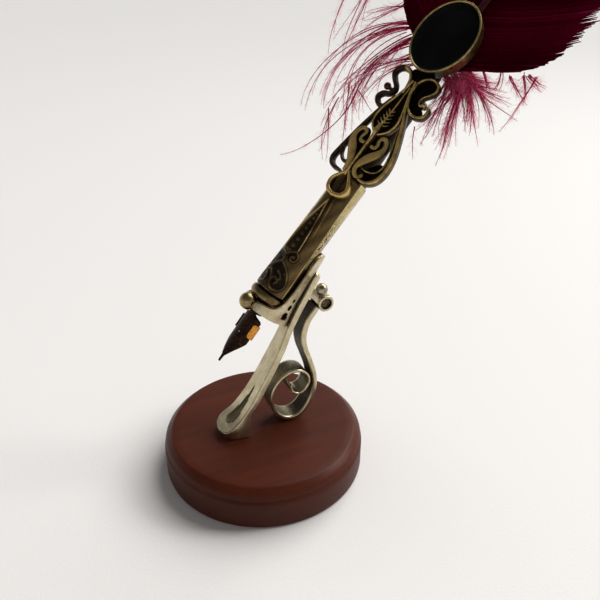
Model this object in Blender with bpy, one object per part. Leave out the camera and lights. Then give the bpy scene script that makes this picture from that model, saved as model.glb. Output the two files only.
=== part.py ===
"""Feather dip pen on its desk stand.

Metres, +Z up. The origin is the centre of the base's underside. The pen and the stand's metal lie in the XZ plane:
the nib points to -X and down, the feather to +X and up. Lengths below are in millimetres until MM scales them.
"""

import math

import bmesh
import bpy
import numpy as np
from mathutils import Matrix, Vector

MM = 0.001
GAP = 0.3  # clearance kept between neighbouring pieces

# Base
BASE_R = 41.0
BASE_TOP_R = 37.4
BASE_H = 17.5
PAD_R = 36.5
PAD_T = 1.2

# Stand metal
BAR_T = 2.5
STRAP_W = 8.4
STRAP_T = 2.3
TUBE_R = 3.3
TUBE_BORE_R = 2.1
TUBE_AT = (26.2, 69.6)
BEAD_R = 2.4
BEAD_AT = (24.6, -3.0, 75.9)
SHEET_T = 0.8
LEG_SCREW_X = -11.5
SCROLL_SCREW_X = 12.2

# Pen axis: it leans PEN_TILT above the desk and passes through PEN_FOOT, from which s is measured along it
PEN_TILT = math.radians(48.8)
PEN_ROLL = math.radians(21.8)
PEN_FOOT = (-35.89, 0.0, 31.43)

# Pen, lengths along the axis
NIB_TIP = 28.7
NECK = (51.7, 57.6)
RING = (57.9, 61.5)
RING_R = 7.0
BALL_R = 3.35
BALL_S = 54.3
BALL_N = 5.9
GRIP = (61.8, 112.8)
GRIP_R = 6.5
GRIP_BORE_R = 4.0
CORE = (113.1, 160.0)
FERRULE = (160.3, 182.0)
OVAL_S = 170.1
OVAL_N = 8.4
OVAL_A = 14.1
OVAL_B = 12.1
FEATHER_TIP = 322.0

for old in list(bpy.data.objects):
    bpy.data.objects.remove(old, do_unlink=True)


def material(name, rgb, metallic, roughness):
    made = bpy.data.materials.new(name)
    made.use_nodes = True
    shader = made.node_tree.nodes["Principled BSDF"]
    shader.inputs["Base Color"].default_value = (*rgb, 1.0)
    shader.inputs["Metallic"].default_value = metallic
    shader.inputs["Roughness"].default_value = roughness
    made.diffuse_color = (*rgb, 1.0)
    return made


WOOD = material("mahogany", (0.085, 0.022, 0.012), 0.0, 0.3)
FELT = material("felt", (0.03, 0.03, 0.03), 0.0, 0.95)
NICKEL = material("nickel_silver", (0.46, 0.41, 0.29), 1.0, 0.28)
BRONZE = material("bronze", (0.20, 0.14, 0.06), 1.0, 0.35)
DARK_BRONZE = material("dark_bronze", (0.045, 0.03, 0.018), 1.0, 0.4)
STEEL = material("steel", (0.5, 0.5, 0.5), 1.0, 0.35)
BRASS = material("amber_brass", (0.55, 0.28, 0.06), 1.0, 0.3)
ONYX = material("black_onyx", (0.004, 0.004, 0.004), 0.0, 0.08)
QUILL = material("quill", (0.10, 0.012, 0.02), 0.0, 0.5)
VANE = material("burgundy_vane", (0.045, 0.002, 0.008), 0.0, 0.75)
DOWN = material("magenta_down", (0.33, 0.02, 0.09), 0.0, 0.9)

# The pen's frame: x along the axis, y across the face, z out of the face
along = Vector((math.cos(PEN_TILT), 0.0, math.sin(PEN_TILT)))
up_in_plane = Vector((-math.sin(PEN_TILT), 0.0, math.cos(PEN_TILT)))
across = Vector((0.0, math.cos(PEN_ROLL), 0.0)) + up_in_plane * math.sin(PEN_ROLL)
outward = up_in_plane * math.cos(PEN_ROLL) - Vector((0.0, math.sin(PEN_ROLL), 0.0))


def frame_matrix(x_axis, y_axis, z_axis, at):
    made = Matrix((x_axis, y_axis, z_axis)).transposed().to_4x4()
    made.translation = Vector(at) * MM
    return made


def empty(name, matrix):
    made = bpy.data.objects.new(name, None)
    bpy.context.scene.collection.objects.link(made)
    made.matrix_world = matrix
    return made


PEN = empty("pen_axis", frame_matrix(along, across, outward, PEN_FOOT))
CRADLE = empty("cradle_axis", frame_matrix(along, Vector((0, 1, 0)), up_in_plane, PEN_FOOT))


def build(name, verts, faces, mat, parent=None, smooth=True):
    """One closed mesh object from points in millimetres."""
    mesh = bpy.data.meshes.new(name)
    bm = bmesh.new()
    points = [bm.verts.new(Vector(v) * MM) for v in verts]
    for face in faces:
        bm.faces.new([points[i] for i in face])
    bmesh.ops.remove_doubles(bm, verts=bm.verts, dist=1e-8)
    bmesh.ops.recalc_face_normals(bm, faces=bm.faces)
    if bm.calc_volume(signed=True) < 0:
        bmesh.ops.reverse_faces(bm, faces=bm.faces)
    bm.to_mesh(mesh)
    bm.free()
    if smooth:
        mesh.shade_smooth()
        mesh.set_sharp_from_angle(angle=math.radians(35))
    made = bpy.data.objects.new(name, mesh)
    made.data.materials.append(mat)
    bpy.context.scene.collection.objects.link(made)
    if parent is not None:
        made.parent = parent
        made.matrix_parent_inverse = Matrix.Identity(4)
    return made


def combine(obj, others, operation):
    """Boolean with each other object in turn; the others are used up."""
    for other in others:
        modifier = obj.modifiers.new(operation.lower(), "BOOLEAN")
        modifier.operation = operation
        modifier.solver = "EXACT"
        modifier.object = other
        other.hide_render = True
        other.display_type = "WIRE"
    bpy.context.view_layer.update()
    done = obj.evaluated_get(bpy.context.evaluated_depsgraph_get())
    mesh = bpy.data.meshes.new_from_object(done)
    obj.modifiers.clear()
    obj.data = mesh
    for other in others:
        bpy.data.objects.remove(other, do_unlink=True)
    mesh.set_sharp_from_angle(angle=math.radians(35))
    return obj


def lathe(name, profile, mat, parent=None, axis="z", segments=48):
    """A closed solid turned from (radius, height) pairs, from one end to the other; a bore goes back down inside."""
    rings = []
    verts = []
    for radius, height in profile:
        if radius < 1e-6:
            rings.append([len(verts)])
            verts.append((0.0, 0.0, height))
            continue
        rings.append(list(range(len(verts), len(verts) + segments)))
        for k in range(segments):
            turn = 2 * math.pi * k / segments
            verts.append((radius * math.cos(turn), radius * math.sin(turn), height))
    faces = []
    closed = profile[0][0] > 1e-6 and profile[-1][0] > 1e-6
    pairs = list(zip(rings, rings[1:]))
    if closed:
        pairs.append((rings[-1], rings[0]))
    for low, high in pairs:
        for k in range(segments):
            j = (k + 1) % segments
            if len(low) == 1 and len(high) == 1:
                continue
            if len(low) == 1:
                faces.append((low[0], high[j], high[k]))
            elif len(high) == 1:
                faces.append((low[k], low[j], high[0]))
            else:
                faces.append((low[k], low[j], high[j], high[k]))
    if axis == "x":
        verts = [(z, x, y) for x, y, z in verts]
    if axis == "y":
        verts = [(y, z, x) for x, y, z in verts]
    return build(name, verts, faces, mat, parent)


def ball(name, radius, at, mat, parent=None, rings=10, segments=16):
    profile = [(radius * math.sin(math.pi * k / rings), -radius * math.cos(math.pi * k / rings)) for k in range(rings + 1)]
    profile[0] = (0.0, -radius)
    profile[-1] = (0.0, radius)
    made = lathe(name, profile, mat, parent, "z", segments)
    for vertex in made.data.vertices:
        vertex.co += Vector(at) * MM
    return made


def spline(points, count):
    """Catmull-Rom through the points, count samples evenly spaced along its length."""
    p = np.array(points, float)
    ends = np.vstack([2 * p[0] - p[1], p, 2 * p[-1] - p[-2]])
    fine = []
    for i in range(1, len(ends) - 2):
        for t in np.linspace(0, 1, 16, endpoint=False):
            a, b, c, d = ends[i - 1], ends[i], ends[i + 1], ends[i + 2]
            fine.append(0.5 * (2 * b + (c - a) * t + (2 * a - 5 * b + 4 * c - d) * t**2 + (3 * b - a - 3 * c + d) * t**3))
    fine = np.array(fine + [p[-1]])
    length = np.concatenate([[0], np.cumsum(np.linalg.norm(np.diff(fine[:, :2], axis=0), axis=1))])
    want = np.linspace(0, length[-1], count)
    return np.column_stack([np.interp(want, length, fine[:, k]) for k in range(fine.shape[1])])


def wire(name, points, mat, parent=None, count=26, sides=6, flat=1.0):
    """A rounded wire in the face plane through (s, v, n, half width) points; flat scales its height against its width."""
    path = spline(points, count)
    tangent = np.gradient(path[:, :3], axis=0)
    tangent /= np.linalg.norm(tangent, axis=1)[:, None]
    side = np.cross(np.array([0.0, 0.0, 1.0]), tangent)
    side /= np.linalg.norm(side, axis=1)[:, None]
    up = np.cross(tangent, side)
    rows = [(0, -0.75, 0.55)] + [(i, 0.0, 1.0) for i in range(count)] + [(count - 1, 0.75, 0.55)]
    verts = []
    for i, out, scale in rows:
        centre = path[i, :3] + tangent[i] * out * path[i, 3]
        for k in range(sides):
            turn = 2 * math.pi * (k + 0.5) / sides
            offset = side[i] * math.cos(turn) + up[i] * math.sin(turn) * flat
            verts.append(tuple(centre + offset * path[i, 3] * scale))
    faces = []
    for i in range(len(rows) - 1):
        for k in range(sides):
            j = (k + 1) % sides
            faces.append((i * sides + k, i * sides + j, (i + 1) * sides + j, (i + 1) * sides + k))
    faces.append(tuple(range(sides))[::-1])
    faces.append(tuple(range((len(rows) - 1) * sides, len(rows) * sides)))
    return build(name, verts, faces, mat, parent)


def prism(name, outline, low, high, mat, parent=None, plane="xz"):
    """An outline extruded across the plane it lies in."""
    n = len(outline)
    verts = []
    for level in (low, high):
        for a, b in outline:
            verts.append((a, level, b) if plane == "xz" else (a, b, level))
    faces = [tuple(range(n)), tuple(range(n, 2 * n))[::-1]]
    for k in range(n):
        j = (k + 1) % n
        faces.append((k, j, n + j, n + k))
    return build(name, verts, faces, mat, parent)


def grid_solid(name, outer, inner, mat, parent=None):
    """A sheet closed between two equal grids of points, outer[i][j] and inner[i][j]."""
    rows, cols = len(outer), len(outer[0])
    verts = [tuple(p) for row in outer for p in row] + [tuple(p) for row in inner for p in row]
    half = rows * cols
    faces = []
    for i in range(rows - 1):
        for j in range(cols - 1):
            a, b, c, d = i * cols + j, i * cols + j + 1, (i + 1) * cols + j + 1, (i + 1) * cols + j
            faces.append((a, b, c, d))
            faces.append((half + d, half + c, half + b, half + a))
    for i in range(rows - 1):
        for j in (0, cols - 1):
            a, d = i * cols + j, (i + 1) * cols + j
            faces.append((a, d, half + d, half + a))
    for j in range(cols - 1):
        for i in (0, rows - 1):
            a, b = i * cols + j, i * cols + j + 1
            faces.append((a, b, half + b, half + a))
    return build(name, verts, faces, mat, parent)


def mirrored(points):
    return [(s, -v, *rest) for s, v, *rest in points]


# ---------------------------------------------------------------- stand

shoulder = []
for k in range(7):
    turn = math.pi / 2 * k / 6
    shoulder.append((BASE_TOP_R + (BASE_R - BASE_TOP_R) * math.sin(turn), 13.6 + (BASE_H - 13.6) * math.cos(turn)))
base_profile = [(0.0, BASE_H)] + shoulder
base_profile += [(BASE_R, 11.6), (BASE_R - 0.25, 11.0), (BASE_R - 0.7, 10.6), (BASE_R - 0.25, 10.2), (BASE_R, 9.6)]
base_profile += [(BASE_R, 1.2), (BASE_R - 0.8, 0.0), (PAD_R + GAP, 0.0), (PAD_R + GAP, PAD_T + GAP), (0.0, PAD_T + GAP)]
base = lathe("base_disc", base_profile, WOOD, segments=64)
cuts = []
for x in (LEG_SCREW_X, SCROLL_SCREW_X):
    bore = lathe("screw_bore", [(0.0, 0.0), (4.0, 0.0), (4.0, 4.0), (1.9, 6.4), (1.9, 20.0), (0.0, 20.0)], WOOD, segments=24)
    for vertex in bore.data.vertices:
        vertex.co += Vector((x, 0, 0)) * MM
    cuts.append(bore)
combine(base, cuts, "DIFFERENCE")

lathe("felt_pad", [(0.0, PAD_T), (PAD_R, PAD_T), (PAD_R, 0.0), (0.0, 0.0)], FELT, segments=48)

for name, x, top in (("leg_screw", LEG_SCREW_X, 21.4), ("scroll_screw", SCROLL_SCREW_X, 19.6)):
    screw = lathe(name, [(0.0, 1.9), (3.6, 1.9), (3.6, 3.9), (1.5, 6.0), (1.5, top), (0.0, top)], STEEL, segments=20)
    for vertex in screw.data.vertices:
        vertex.co += Vector((x, 0, 0)) * MM

# Bar: front line (x, z) with half width, from its rounded top down to its spread, rounded toe
BAR_FOOT_Z = BASE_H + GAP
bar_line = [(22.9, 83.3, 2.2), (21.9, 82.4, 3.2), (20.6, 80.6, 3.5), (17.8, 75.7, 3.5), (14.3, 69.8, 3.5), (10.2, 62.0, 3.5)]
bar_line += [(7.4, 55.9, 4.0), (5.9, 52.9, 4.4), (1.2, 44.4, 4.8), (-3.4, 36.6, 5.1), (-6.1, 32.5, 5.5), (-9.0, 28.8, 5.8)]
foot_line = [(-11.5, 26.1, 6.1), (-14.5, 23.9, 6.5), (-16.1, 22.8, 6.5), (-17.3, 21.9, 6.0), (-18.5, 21.2, 4.8), (-19.2, 20.8, 3.0)]
foot_line += [(-19.5, 20.6, 1.4)]
foot_rear = [(-7.2, 21.8), (-8.4, BAR_FOOT_Z), (-12.0, BAR_FOOT_Z), (-15.0, BAR_FOOT_Z), (-17.2, BAR_FOOT_Z), (-18.3, BAR_FOOT_Z)]
foot_rear += [(-18.8, BAR_FOOT_Z)]
sections = []
for i, (x, z, half) in enumerate(bar_line):
    before = bar_line[max(i - 1, 0)]
    after = bar_line[min(i + 1, len(bar_line) - 1)]
    run = Vector((after[0] - before[0], after[1] - before[1])).normalized()
    sections.append(((x, z), (x - run.y * BAR_T, z + run.x * BAR_T), half))
sections += [((x, z), rear, half) for (x, z, half), rear in zip(foot_line, foot_rear)]
outer_rows = [[(f[0], -half, f[1]), (f[0], half, f[1])] for f, r, half in sections]
inner_rows = [[(r[0], -half, r[1]), (r[0], half, r[1])] for f, r, half in sections]
bar = grid_solid("leg_bar", outer_rows, inner_rows, NICKEL)
lean = math.radians(46.0)
bar_up = Vector((math.cos(lean), 0, math.sin(lean)))
bar_out = Vector((-math.sin(lean), 0, math.cos(lean)))
drop = [(0.0, 0.0)]
for k in range(13):
    turn = -math.pi / 2 * 1.25 + math.pi * 1.25 * k / 12
    drop.append((-14.0 - 2.7 * math.cos(turn), 2.7 * math.sin(turn)))
recess = prism("recess_cutter", drop, -1.6, 3.0, NICKEL, plane="xy")
recess.matrix_world = frame_matrix(bar_up, bar_up.cross(bar_out) * -1.0, bar_out, (-4.4, 0.0, 34.9))
bar_bore = lathe("bore_cutter", [(0.0, 16.0), (1.9, 16.0), (1.9, 21.8), (0.0, 21.8)], NICKEL, segments=20)
for vertex in bar_bore.data.vertices:
    vertex.co += Vector((LEG_SCREW_X, 0, 0)) * MM
combine(bar, [recess, bar_bore], "DIFFERENCE")

# Cradle: a sheet trough whose section changes along the pen's axis; height is measured off that axis
CRADLE_S = [53.2, 54.0, 55.0, 56.0, 56.7, 57.1, 57.5, 58.4, 60.0, 62.0, 64.5, 68.0, 72.0, 76.0, 79.5, 81.6, 83.2, 84.4]
CRADLE_TOP = [4.9, 5.4, 5.6, 5.3, 4.2, 2.2, 0.2, -1.3, -2.5, -3.4, -4.0, -4.5, -4.5, -4.2, -3.9, -4.2, -5.2, -6.8]
CRADLE_LOW = [-13.4, -13.1, -12.9, -12.6, -12.4, -12.3, -12.2, -12.0, -11.6, -11.1, -10.8, -10.3, -9.9, -9.5, -9.2, -9.0, -8.8, -8.4]
CRADLE_HALF = [7.4, 7.4, 7.4, 7.4, 7.4, 7.4, 7.4, 7.4, 7.4, 7.3, 7.1, 6.9, 6.9, 6.9, 6.9, 6.8, 6.6, 6.3]
RIB_LOW = [-14.1, -13.85, -13.6, -13.35, -13.2, -13.1, -13.0, -12.7, -12.35, -11.95, -11.55, -11.0, -10.25, -9.6, -9.3, -9.1, -8.9, -8.5]


def cradle_side(low, rib, half, top):
    """Outer and inner (across, height) lines of one half of the trough's section, bottom centre to top edge."""
    wall = [Vector((3.5, low + 0.9)), Vector((half, -3.4)), Vector((half + 0.25, -1.2)), Vector((half - 0.2, 1.4))]
    wall += [Vector((half - 1.4, 3.7)), Vector((half - 3.3, 5.8))]
    steps = [(b - a).length for a, b in zip(wall, wall[1:])]
    line = []
    cut = []
    for a, b in zip(wall, wall[1:]):
        if top >= b.y:
            cut.append(b)
            continue
        t = (top - a.y) / (b.y - a.y)
        cut.append(a.lerp(b, max(t, 0.05)))
        break
    chain = [wall[0]] + cut
    lengths = np.concatenate([[0], np.cumsum([(b - a).length for a, b in zip(chain, chain[1:])])])
    for want in np.linspace(0, lengths[-1], 7):
        line.append(Vector((np.interp(want, lengths, [p.x for p in chain]), np.interp(want, lengths, [p.y for p in chain]))))
    outer = [Vector((0, rib)), Vector((2.2, rib)), Vector((2.25, low)), Vector((2.9, low + 0.1))] + line
    inner = [Vector((0, low + SHEET_T)), Vector((1.2, low + SHEET_T)), Vector((1.8, low + SHEET_T)), Vector((2.3, low + 0.95))]
    for i, p in enumerate(line):
        ahead = line[min(i + 1, len(line) - 1)]
        behind = line[max(i - 1, 0)]
        tangent = (ahead - behind).normalized()
        inner.append(p + Vector((-tangent.y, tangent.x)) * SHEET_T)
    return outer, inner


outer_rows = []
inner_rows = []
for s, top, low, half, rib in zip(CRADLE_S, CRADLE_TOP, CRADLE_LOW, CRADLE_HALF, RIB_LOW):
    outer, inner = cradle_side(low, rib, half, top)
    for rows, line in ((outer_rows, outer), (inner_rows, inner)):
        rows.append([(s, -p.x, p.y) for p in line[:0:-1]] + [(s, p.x, p.y) for p in line])
cradle = grid_solid("cradle", outer_rows, inner_rows, NICKEL, CRADLE)
holes = []
for s, height, radius in ((57.0, -8.6, 1.2), (60.8, -8.4, 0.85), (63.9, -8.2, 0.6)):
    hole = lathe("hole_cutter", [(0.0, -9.0), (radius, -9.0), (radius, 9.0), (0.0, 9.0)], NICKEL, CRADLE, "y", 16)
    for vertex in hole.data.vertices:
        vertex.co += Vector((s, 0, height)) * MM
    holes.append(hole)
combine(cradle, holes, "DIFFERENCE")

# Strap: its middle line in the XZ plane with its thickness, coiled at the lower end
strap_line = [(21.6, 67.4, 2.3), (18.6, 63.4, 2.4), (16.8, 57.4, 2.4), (17.2, 51.6, 2.4), (19.2, 45.4, 2.3), (21.2, 38.6, 2.2)]
strap_line += [(21.7, 32.4, 2.1), (20.2, 26.2, 2.0), (16.6, 20.8, 1.9), (12.2, 18.8, 1.9), (7.6, 20.2, 1.8), (4.0, 24.2, 1.7)]
strap_line += [(2.6, 30.0, 1.6), (3.8, 35.4, 1.6), (7.0, 39.6, 1.5), (11.4, 41.6, 1.5), (15.6, 41.0, 1.4), (18.6, 38.0, 1.3)]
strap_line += [(19.0, 34.4, 1.2), (17.2, 31.3, 1.2), (14.2, 30.4, 1.1), (11.6, 32.2, 1.1), (10.8, 35.4, 1.1)]
strap_path = spline(strap_line, 64)
strap_tangent = np.gradient(strap_path[:, :2], axis=0)
strap_tangent /= np.linalg.norm(strap_tangent, axis=1)[:, None]
strap_normal = np.column_stack([-strap_tangent[:, 1], strap_tangent[:, 0]])
left_side = strap_path[:, :2] + strap_normal * strap_path[:, 2:3] / 2
right_side = strap_path[:, :2] - strap_normal * strap_path[:, 2:3] / 2
strap_outline = [tuple(p) for p in left_side] + [tuple(p) for p in right_side[::-1]]
strap = prism("scroll_strap", strap_outline, -STRAP_W / 2, STRAP_W / 2, NICKEL)
strap_bore = lathe("bore_cutter", [(0.0, 16.0), (1.8, 16.0), (1.8, 21.5), (0.0, 21.5)], NICKEL, segments=20)
for vertex in strap_bore.data.vertices:
    vertex.co += Vector((SCROLL_SCREW_X, 0, 0)) * MM
combine(strap, [strap_bore], "DIFFERENCE")

tube = lathe(
    "scroll_tube",
    [(TUBE_R - 0.4, -4.2), (TUBE_R, -3.8), (TUBE_R, 3.8), (TUBE_R - 0.4, 4.2), (TUBE_BORE_R, 4.2), (TUBE_BORE_R, -4.2)],
    NICKEL, axis="y", segments=28,
)
for vertex in tube.data.vertices:
    vertex.co += Vector((TUBE_AT[0], 0, TUBE_AT[1])) * MM
ball("scroll_bead", BEAD_R, BEAD_AT, NICKEL, rings=8, segments=14)

# ---------------------------------------------------------------- pen

grip_rows = []
grip_stations = [(61.8, 6.4), (62.4, 6.7), (64.5, 6.75), (70.0, 6.6), (78.0, 6.4), (90.0, 6.25), (102.0, 6.15), (112.2, 6.1), (112.8, 5.8)]
GRIP_SIDES = 32


def grip_radius(turn, radius):
    """A round grip with one long flat on its lower side."""
    flat_turn = math.radians(200)
    off = math.cos(turn - flat_turn)
    return min(radius, 0.955 * radius / off) if off > 0.5 else radius


outer_rows = []
inner_rows = []
for s, radius in grip_stations:
    turns = [2 * math.pi * k / GRIP_SIDES for k in range(GRIP_SIDES)]
    outer_rows.append([(s, grip_radius(t, radius) * math.cos(t), grip_radius(t, radius) * math.sin(t)) for t in turns])
    inner_rows.append([(s, GRIP_BORE_R * math.cos(t), GRIP_BORE_R * math.sin(t)) for t in turns])
rings = outer_rows + inner_rows[::-1]
verts = [p for ring in rings for p in ring]
faces = []
for i in range(len(rings)):
    m = (i + 1) % len(rings)
    for k in range(GRIP_SIDES):
        j = (k + 1) % GRIP_SIDES
        faces.append((i * GRIP_SIDES + k, i * GRIP_SIDES + j, m * GRIP_SIDES + j, m * GRIP_SIDES + k))
build("grip_shell", verts, faces, BRONZE, PEN)

ring_profile = [(GRIP_BORE_R, RING[0]), (6.0, RING[0])]
for k in range(1, 6):
    turn = math.pi * k / 6
    ring_profile.append((RING_R - 0.9 + 0.9 * math.sin(turn), (RING[0] + RING[1]) / 2 - (RING[1] - RING[0]) / 2 * math.cos(turn)))
ring_profile += [(6.0, RING[1]), (GRIP_BORE_R, RING[1])]
lathe("front_ring", ring_profile, BRONZE, PEN, "x", 32)

lathe(
    "nib_socket",
    [(2.45, NECK[0]), (2.85, NECK[0] + 0.3), (2.85, NECK[1]), (3.65, NECK[1] + 0.3), (3.65, 74.0), (2.45, 74.0)],
    DARK_BRONZE, PEN, "x", 28,
)
neck_ball = ball("neck_ball", BALL_R, (BALL_S, BALL_N * math.sin(PEN_ROLL) - 0.3, BALL_N * math.cos(PEN_ROLL)), BRONZE, PEN, 12, 20)
neck_seat = lathe("neck_cutter", [(0.0, 48.0), (3.15, 48.0), (3.15, NECK[1]), (9.0, NECK[1]), (9.0, 64.0), (0.0, 64.0)], BRONZE, PEN, "x", 28)
combine(neck_ball, [neck_seat], "DIFFERENCE")

core = [(0.0, CORE[0]), (5.4, CORE[0]), (5.2, 116.0), (4.8, 120.0), (4.4, 128.0), (4.15, 140.0), (3.8, 152.0), (3.6, CORE[1]), (0.0, CORE[1])]
lathe("core_tube", core, BRONZE, PEN, "x", 32)
lathe(
    "feather_ferrule",
    [(0.0, FERRULE[0]), (3.5, FERRULE[0]), (3.4, 170.0), (2.9, FERRULE[1]), (2.0, FERRULE[1]), (2.0, 164.0), (0.0, 164.0)],
    BRONZE, PEN, "x", 28,
)

# Teardrop collar: a raised wall standing on the grip's end
tear = []
tear_in = []
for points, lobe, tip, half in ((tear, 104.6, 113.8, 4.8), (tear_in, 105.6, 111.8, 3.7)):
    long = tip - lobe
    outline = [(lobe, 0.0), (lobe + 0.055 * long, half * 0.55), (lobe + 0.22 * long, half * 0.94), (lobe + 0.4 * long, half * 0.97)]
    outline += [(lobe + 0.6 * long, half * 0.7), (lobe + 0.78 * long, half * 0.33), (tip, 0.25)]
    smooth = spline(outline, 14)
    points += [tuple(p) for p in smooth] + [(a, -b) for a, b in smooth[:0:-1]]
teardrop = prism("teardrop_collar", tear, 4.7, 7.2, BRONZE, PEN, "xy")
hollow = prism("tear_cutter", tear_in, 2.0, 9.0, BRONZE, PEN, "xy")
seat = lathe("seat_cutter", [(0.0, 100.0), (6.55, 100.0), (6.4, 113.2), (5.75, 113.4), (5.75, 118.0), (0.0, 118.0)], BRONZE, PEN, "x", 48)
combine(teardrop, [hollow, seat], "DIFFERENCE")

stem = [(114.4, 0.3, 6.9, 0.55), (118.0, 0.3, 7.0, 0.6), (124.0, 0.3, 7.1, 0.65), (129.2, 0.3, 7.1, 0.7)]
wire("stem_rib", stem, BRONZE, PEN, count=10)

curl = [(126.3, 7.2, 6.9, 1.2), (128.7, 6.7, 6.8, 0.95), (130.0, 5.0, 6.8, 0.75), (128.9, 3.6, 6.8, 0.65), (126.9, 4.1, 6.8, 0.6)]
curl += [(125.3, 3.4, 6.8, 0.6), (125.6, 2.0, 6.8, 0.55)]
leaf = [(114.6, 2.9, 6.9, 0.7), (117.6, 2.3, 7.0, 0.95), (120.6, 3.3, 7.0, 1.3), (123.2, 5.8, 7.0, 1.35)] + curl
wire("leaf_left", leaf, BRONZE, PEN, count=32, flat=0.7)
wire("leaf_right", [(s, 0.3 - v * 1.03, n, half) for s, v, n, half in leaf[1:]], BRONZE, PEN, count=30, flat=0.7)

loop_left = [(113.4, 4.6, 6.0, 0.6), (112.9, 7.0, 5.4, 0.75), (113.4, 9.8, 4.8, 0.95), (115.4, 11.3, 4.5, 1.0), (118.6, 11.2, 4.4, 0.95)]
loop_left += [(123.2, 10.4, 4.5, 0.9), (128.2, 9.3, 4.8, 0.85), (133.2, 7.7, 5.4, 0.75), (137.4, 6.6, 5.9, 0.65)]
wire("loop_left", loop_left, BRONZE, PEN, count=30)
loop_right = [(115.6, -2.6, 6.2, 0.6), (114.0, -4.2, 5.4, 0.7), (113.9, -7.2, 4.8, 0.85), (115.8, -9.8, 4.5, 1.0), (118.9, -11.2, 4.4, 1.0)]
loop_right += [(122.8, -11.2, 4.4, 0.95), (127.2, -10.3, 4.8, 0.85), (132.2, -8.5, 5.3, 0.75), (136.2, -6.8, 5.7, 0.7), (138.8, -5.5, 5.9, 0.65)]
wire("loop_right", loop_right, BRONZE, PEN, count=30)

bud_outline = []
for s, half in ((130.6, 0.5), (131.6, 2.2), (133.4, 4.0), (136.0, 4.9), (139.0, 4.6), (142.0, 3.6), (145.0, 2.2), (147.4, 1.0), (148.4, 0.4)):
    bud_outline.append((s, half))
bud_path = spline(bud_outline, 18)
rows_top = []
rows_low = []
for s, half in bud_path:
    rows_top.append([(s, 0.3 + half * u, 6.5 + 1.2 * (1 - u * u) ** 0.5 * (0.35 + 0.65 * half / 4.9)) for u in np.linspace(-1, 1, 9)])
    rows_low.append([(s, 0.3 + half * u, 5.6 + 0.3 * u * u) for u in np.linspace(-1, 1, 9)])
grid_solid("bud", rows_top, rows_low, BRONZE, PEN)

crest = [(149.4, 2.1, 6.2, 0.6), (152.6, 2.6, 6.2, 0.75), (155.0, 4.4, 6.1, 0.8), (155.8, 7.2, 6.0, 0.85), (154.4, 9.6, 6.0, 0.85)]
crest += [(152.2, 10.0, 6.0, 0.85), (150.2, 8.2, 6.0, 0.8), (148.6, 6.2, 6.0, 0.75), (146.8, 5.5, 6.0, 0.75), (145.2, 6.6, 6.0, 0.75)]
crest += [(144.2, 8.9, 6.0, 0.8), (142.2, 10.0, 6.0, 0.8), (140.4, 8.6, 6.0, 0.75), (140.0, 6.7, 6.0, 0.6)]
crest_left = wire("crest_left", crest, BRONZE, PEN, count=40)
knob = ball("knob", 1.2, (146.9, 8.4, 6.2), BRONZE, PEN, 8, 12)
knob_stalk = wire("knob_stalk", [(146.9, 8.0, 6.1, 0.5), (146.85, 6.8, 6.0, 0.5), (146.8, 5.6, 6.0, 0.5)], BRONZE, PEN, count=4)
combine(crest_left, [knob_stalk, knob], "UNION")

scroll = [(150.2, -1.0, 6.2, 0.6), (152.6, -1.3, 6.2, 0.75), (155.0, -3.2, 6.1, 0.8), (156.0, -6.0, 6.0, 0.85), (154.8, -8.8, 6.0, 0.85)]
scroll += [(152.7, -9.5, 6.0, 0.8), (150.8, -8.3, 6.0, 0.7), (149.0, -6.6, 6.0, 0.7), (147.2, -6.3, 6.0, 0.7), (146.1, -7.5, 6.0, 0.7)]
scroll += [(146.3, -9.0, 6.0, 0.85)]
crest_right = wire("crest_right", scroll, BRONZE, PEN, count=32)
branch = [(150.6, -1.1, 6.2, 0.6), (147.0, -1.9, 6.2, 0.7), (143.8, -3.8, 6.1, 0.75), (142.0, -6.6, 6.0, 0.8), (142.0, -9.2, 6.0, 0.85)]
branch += [(143.2, -11.2, 6.0, 0.8), (145.4, -11.6, 6.0, 0.7)]
crest_branch = wire("crest_branch", branch, BRONZE, PEN, count=20)
combine(crest_right, [crest_branch], "UNION")


def oval(a, b, n, count=40):
    return [(OVAL_S + a * math.cos(2 * math.pi * k / count), b * math.sin(2 * math.pi * k / count), n) for k in range(count)]


def stacked(name, rings, mat, loop):
    """Oval rings joined in turn; loop closes the last to the first, otherwise both ends are capped."""
    count = len(rings[0])
    verts = [p for ring in rings for p in ring]
    faces = []
    for i in range(len(rings) - (0 if loop else 1)):
        m = (i + 1) % len(rings)
        for k in range(count):
            j = (k + 1) % count
            faces.append((i * count + k, i * count + j, m * count + j, m * count + k))
    if not loop:
        faces.append(tuple(range(count))[::-1])
        faces.append(tuple(range((len(rings) - 1) * count, len(rings) * count)))
    return build(name, verts, faces, mat, PEN)


cup = [oval(OVAL_A - 1.0, OVAL_B - 1.0, 4.2), oval(OVAL_A - 0.6, OVAL_B - 0.6, 4.6), oval(OVAL_A - 0.2, OVAL_B - 0.2, 7.5)]
cup += [oval(OVAL_A, OVAL_B, 8.0), oval(OVAL_A - 0.2, OVAL_B - 0.2, OVAL_N + 0.2), oval(OVAL_A - 0.6, OVAL_B - 0.6, OVAL_N + 0.25)]
cup += [oval(OVAL_A - 0.95, OVAL_B - 0.95, OVAL_N - 0.1), oval(OVAL_A - 0.95, OVAL_B - 0.95, 5.6)]
stacked("bezel_cup", cup, BRONZE, False)
stone = [oval(OVAL_A - 1.25, OVAL_B - 1.25, 5.9), oval(OVAL_A - 1.25, OVAL_B - 1.25, 7.9)]
for k in range(1, 5):
    inset = 1.25 + 2.6 * k
    stone.append(oval(OVAL_A - inset, max(OVAL_B - inset, 0.4), 7.9 + 0.75 * (1 - (1 - k / 4) ** 2)))
stacked("onyx_stone", stone, ONYX, False)

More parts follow.
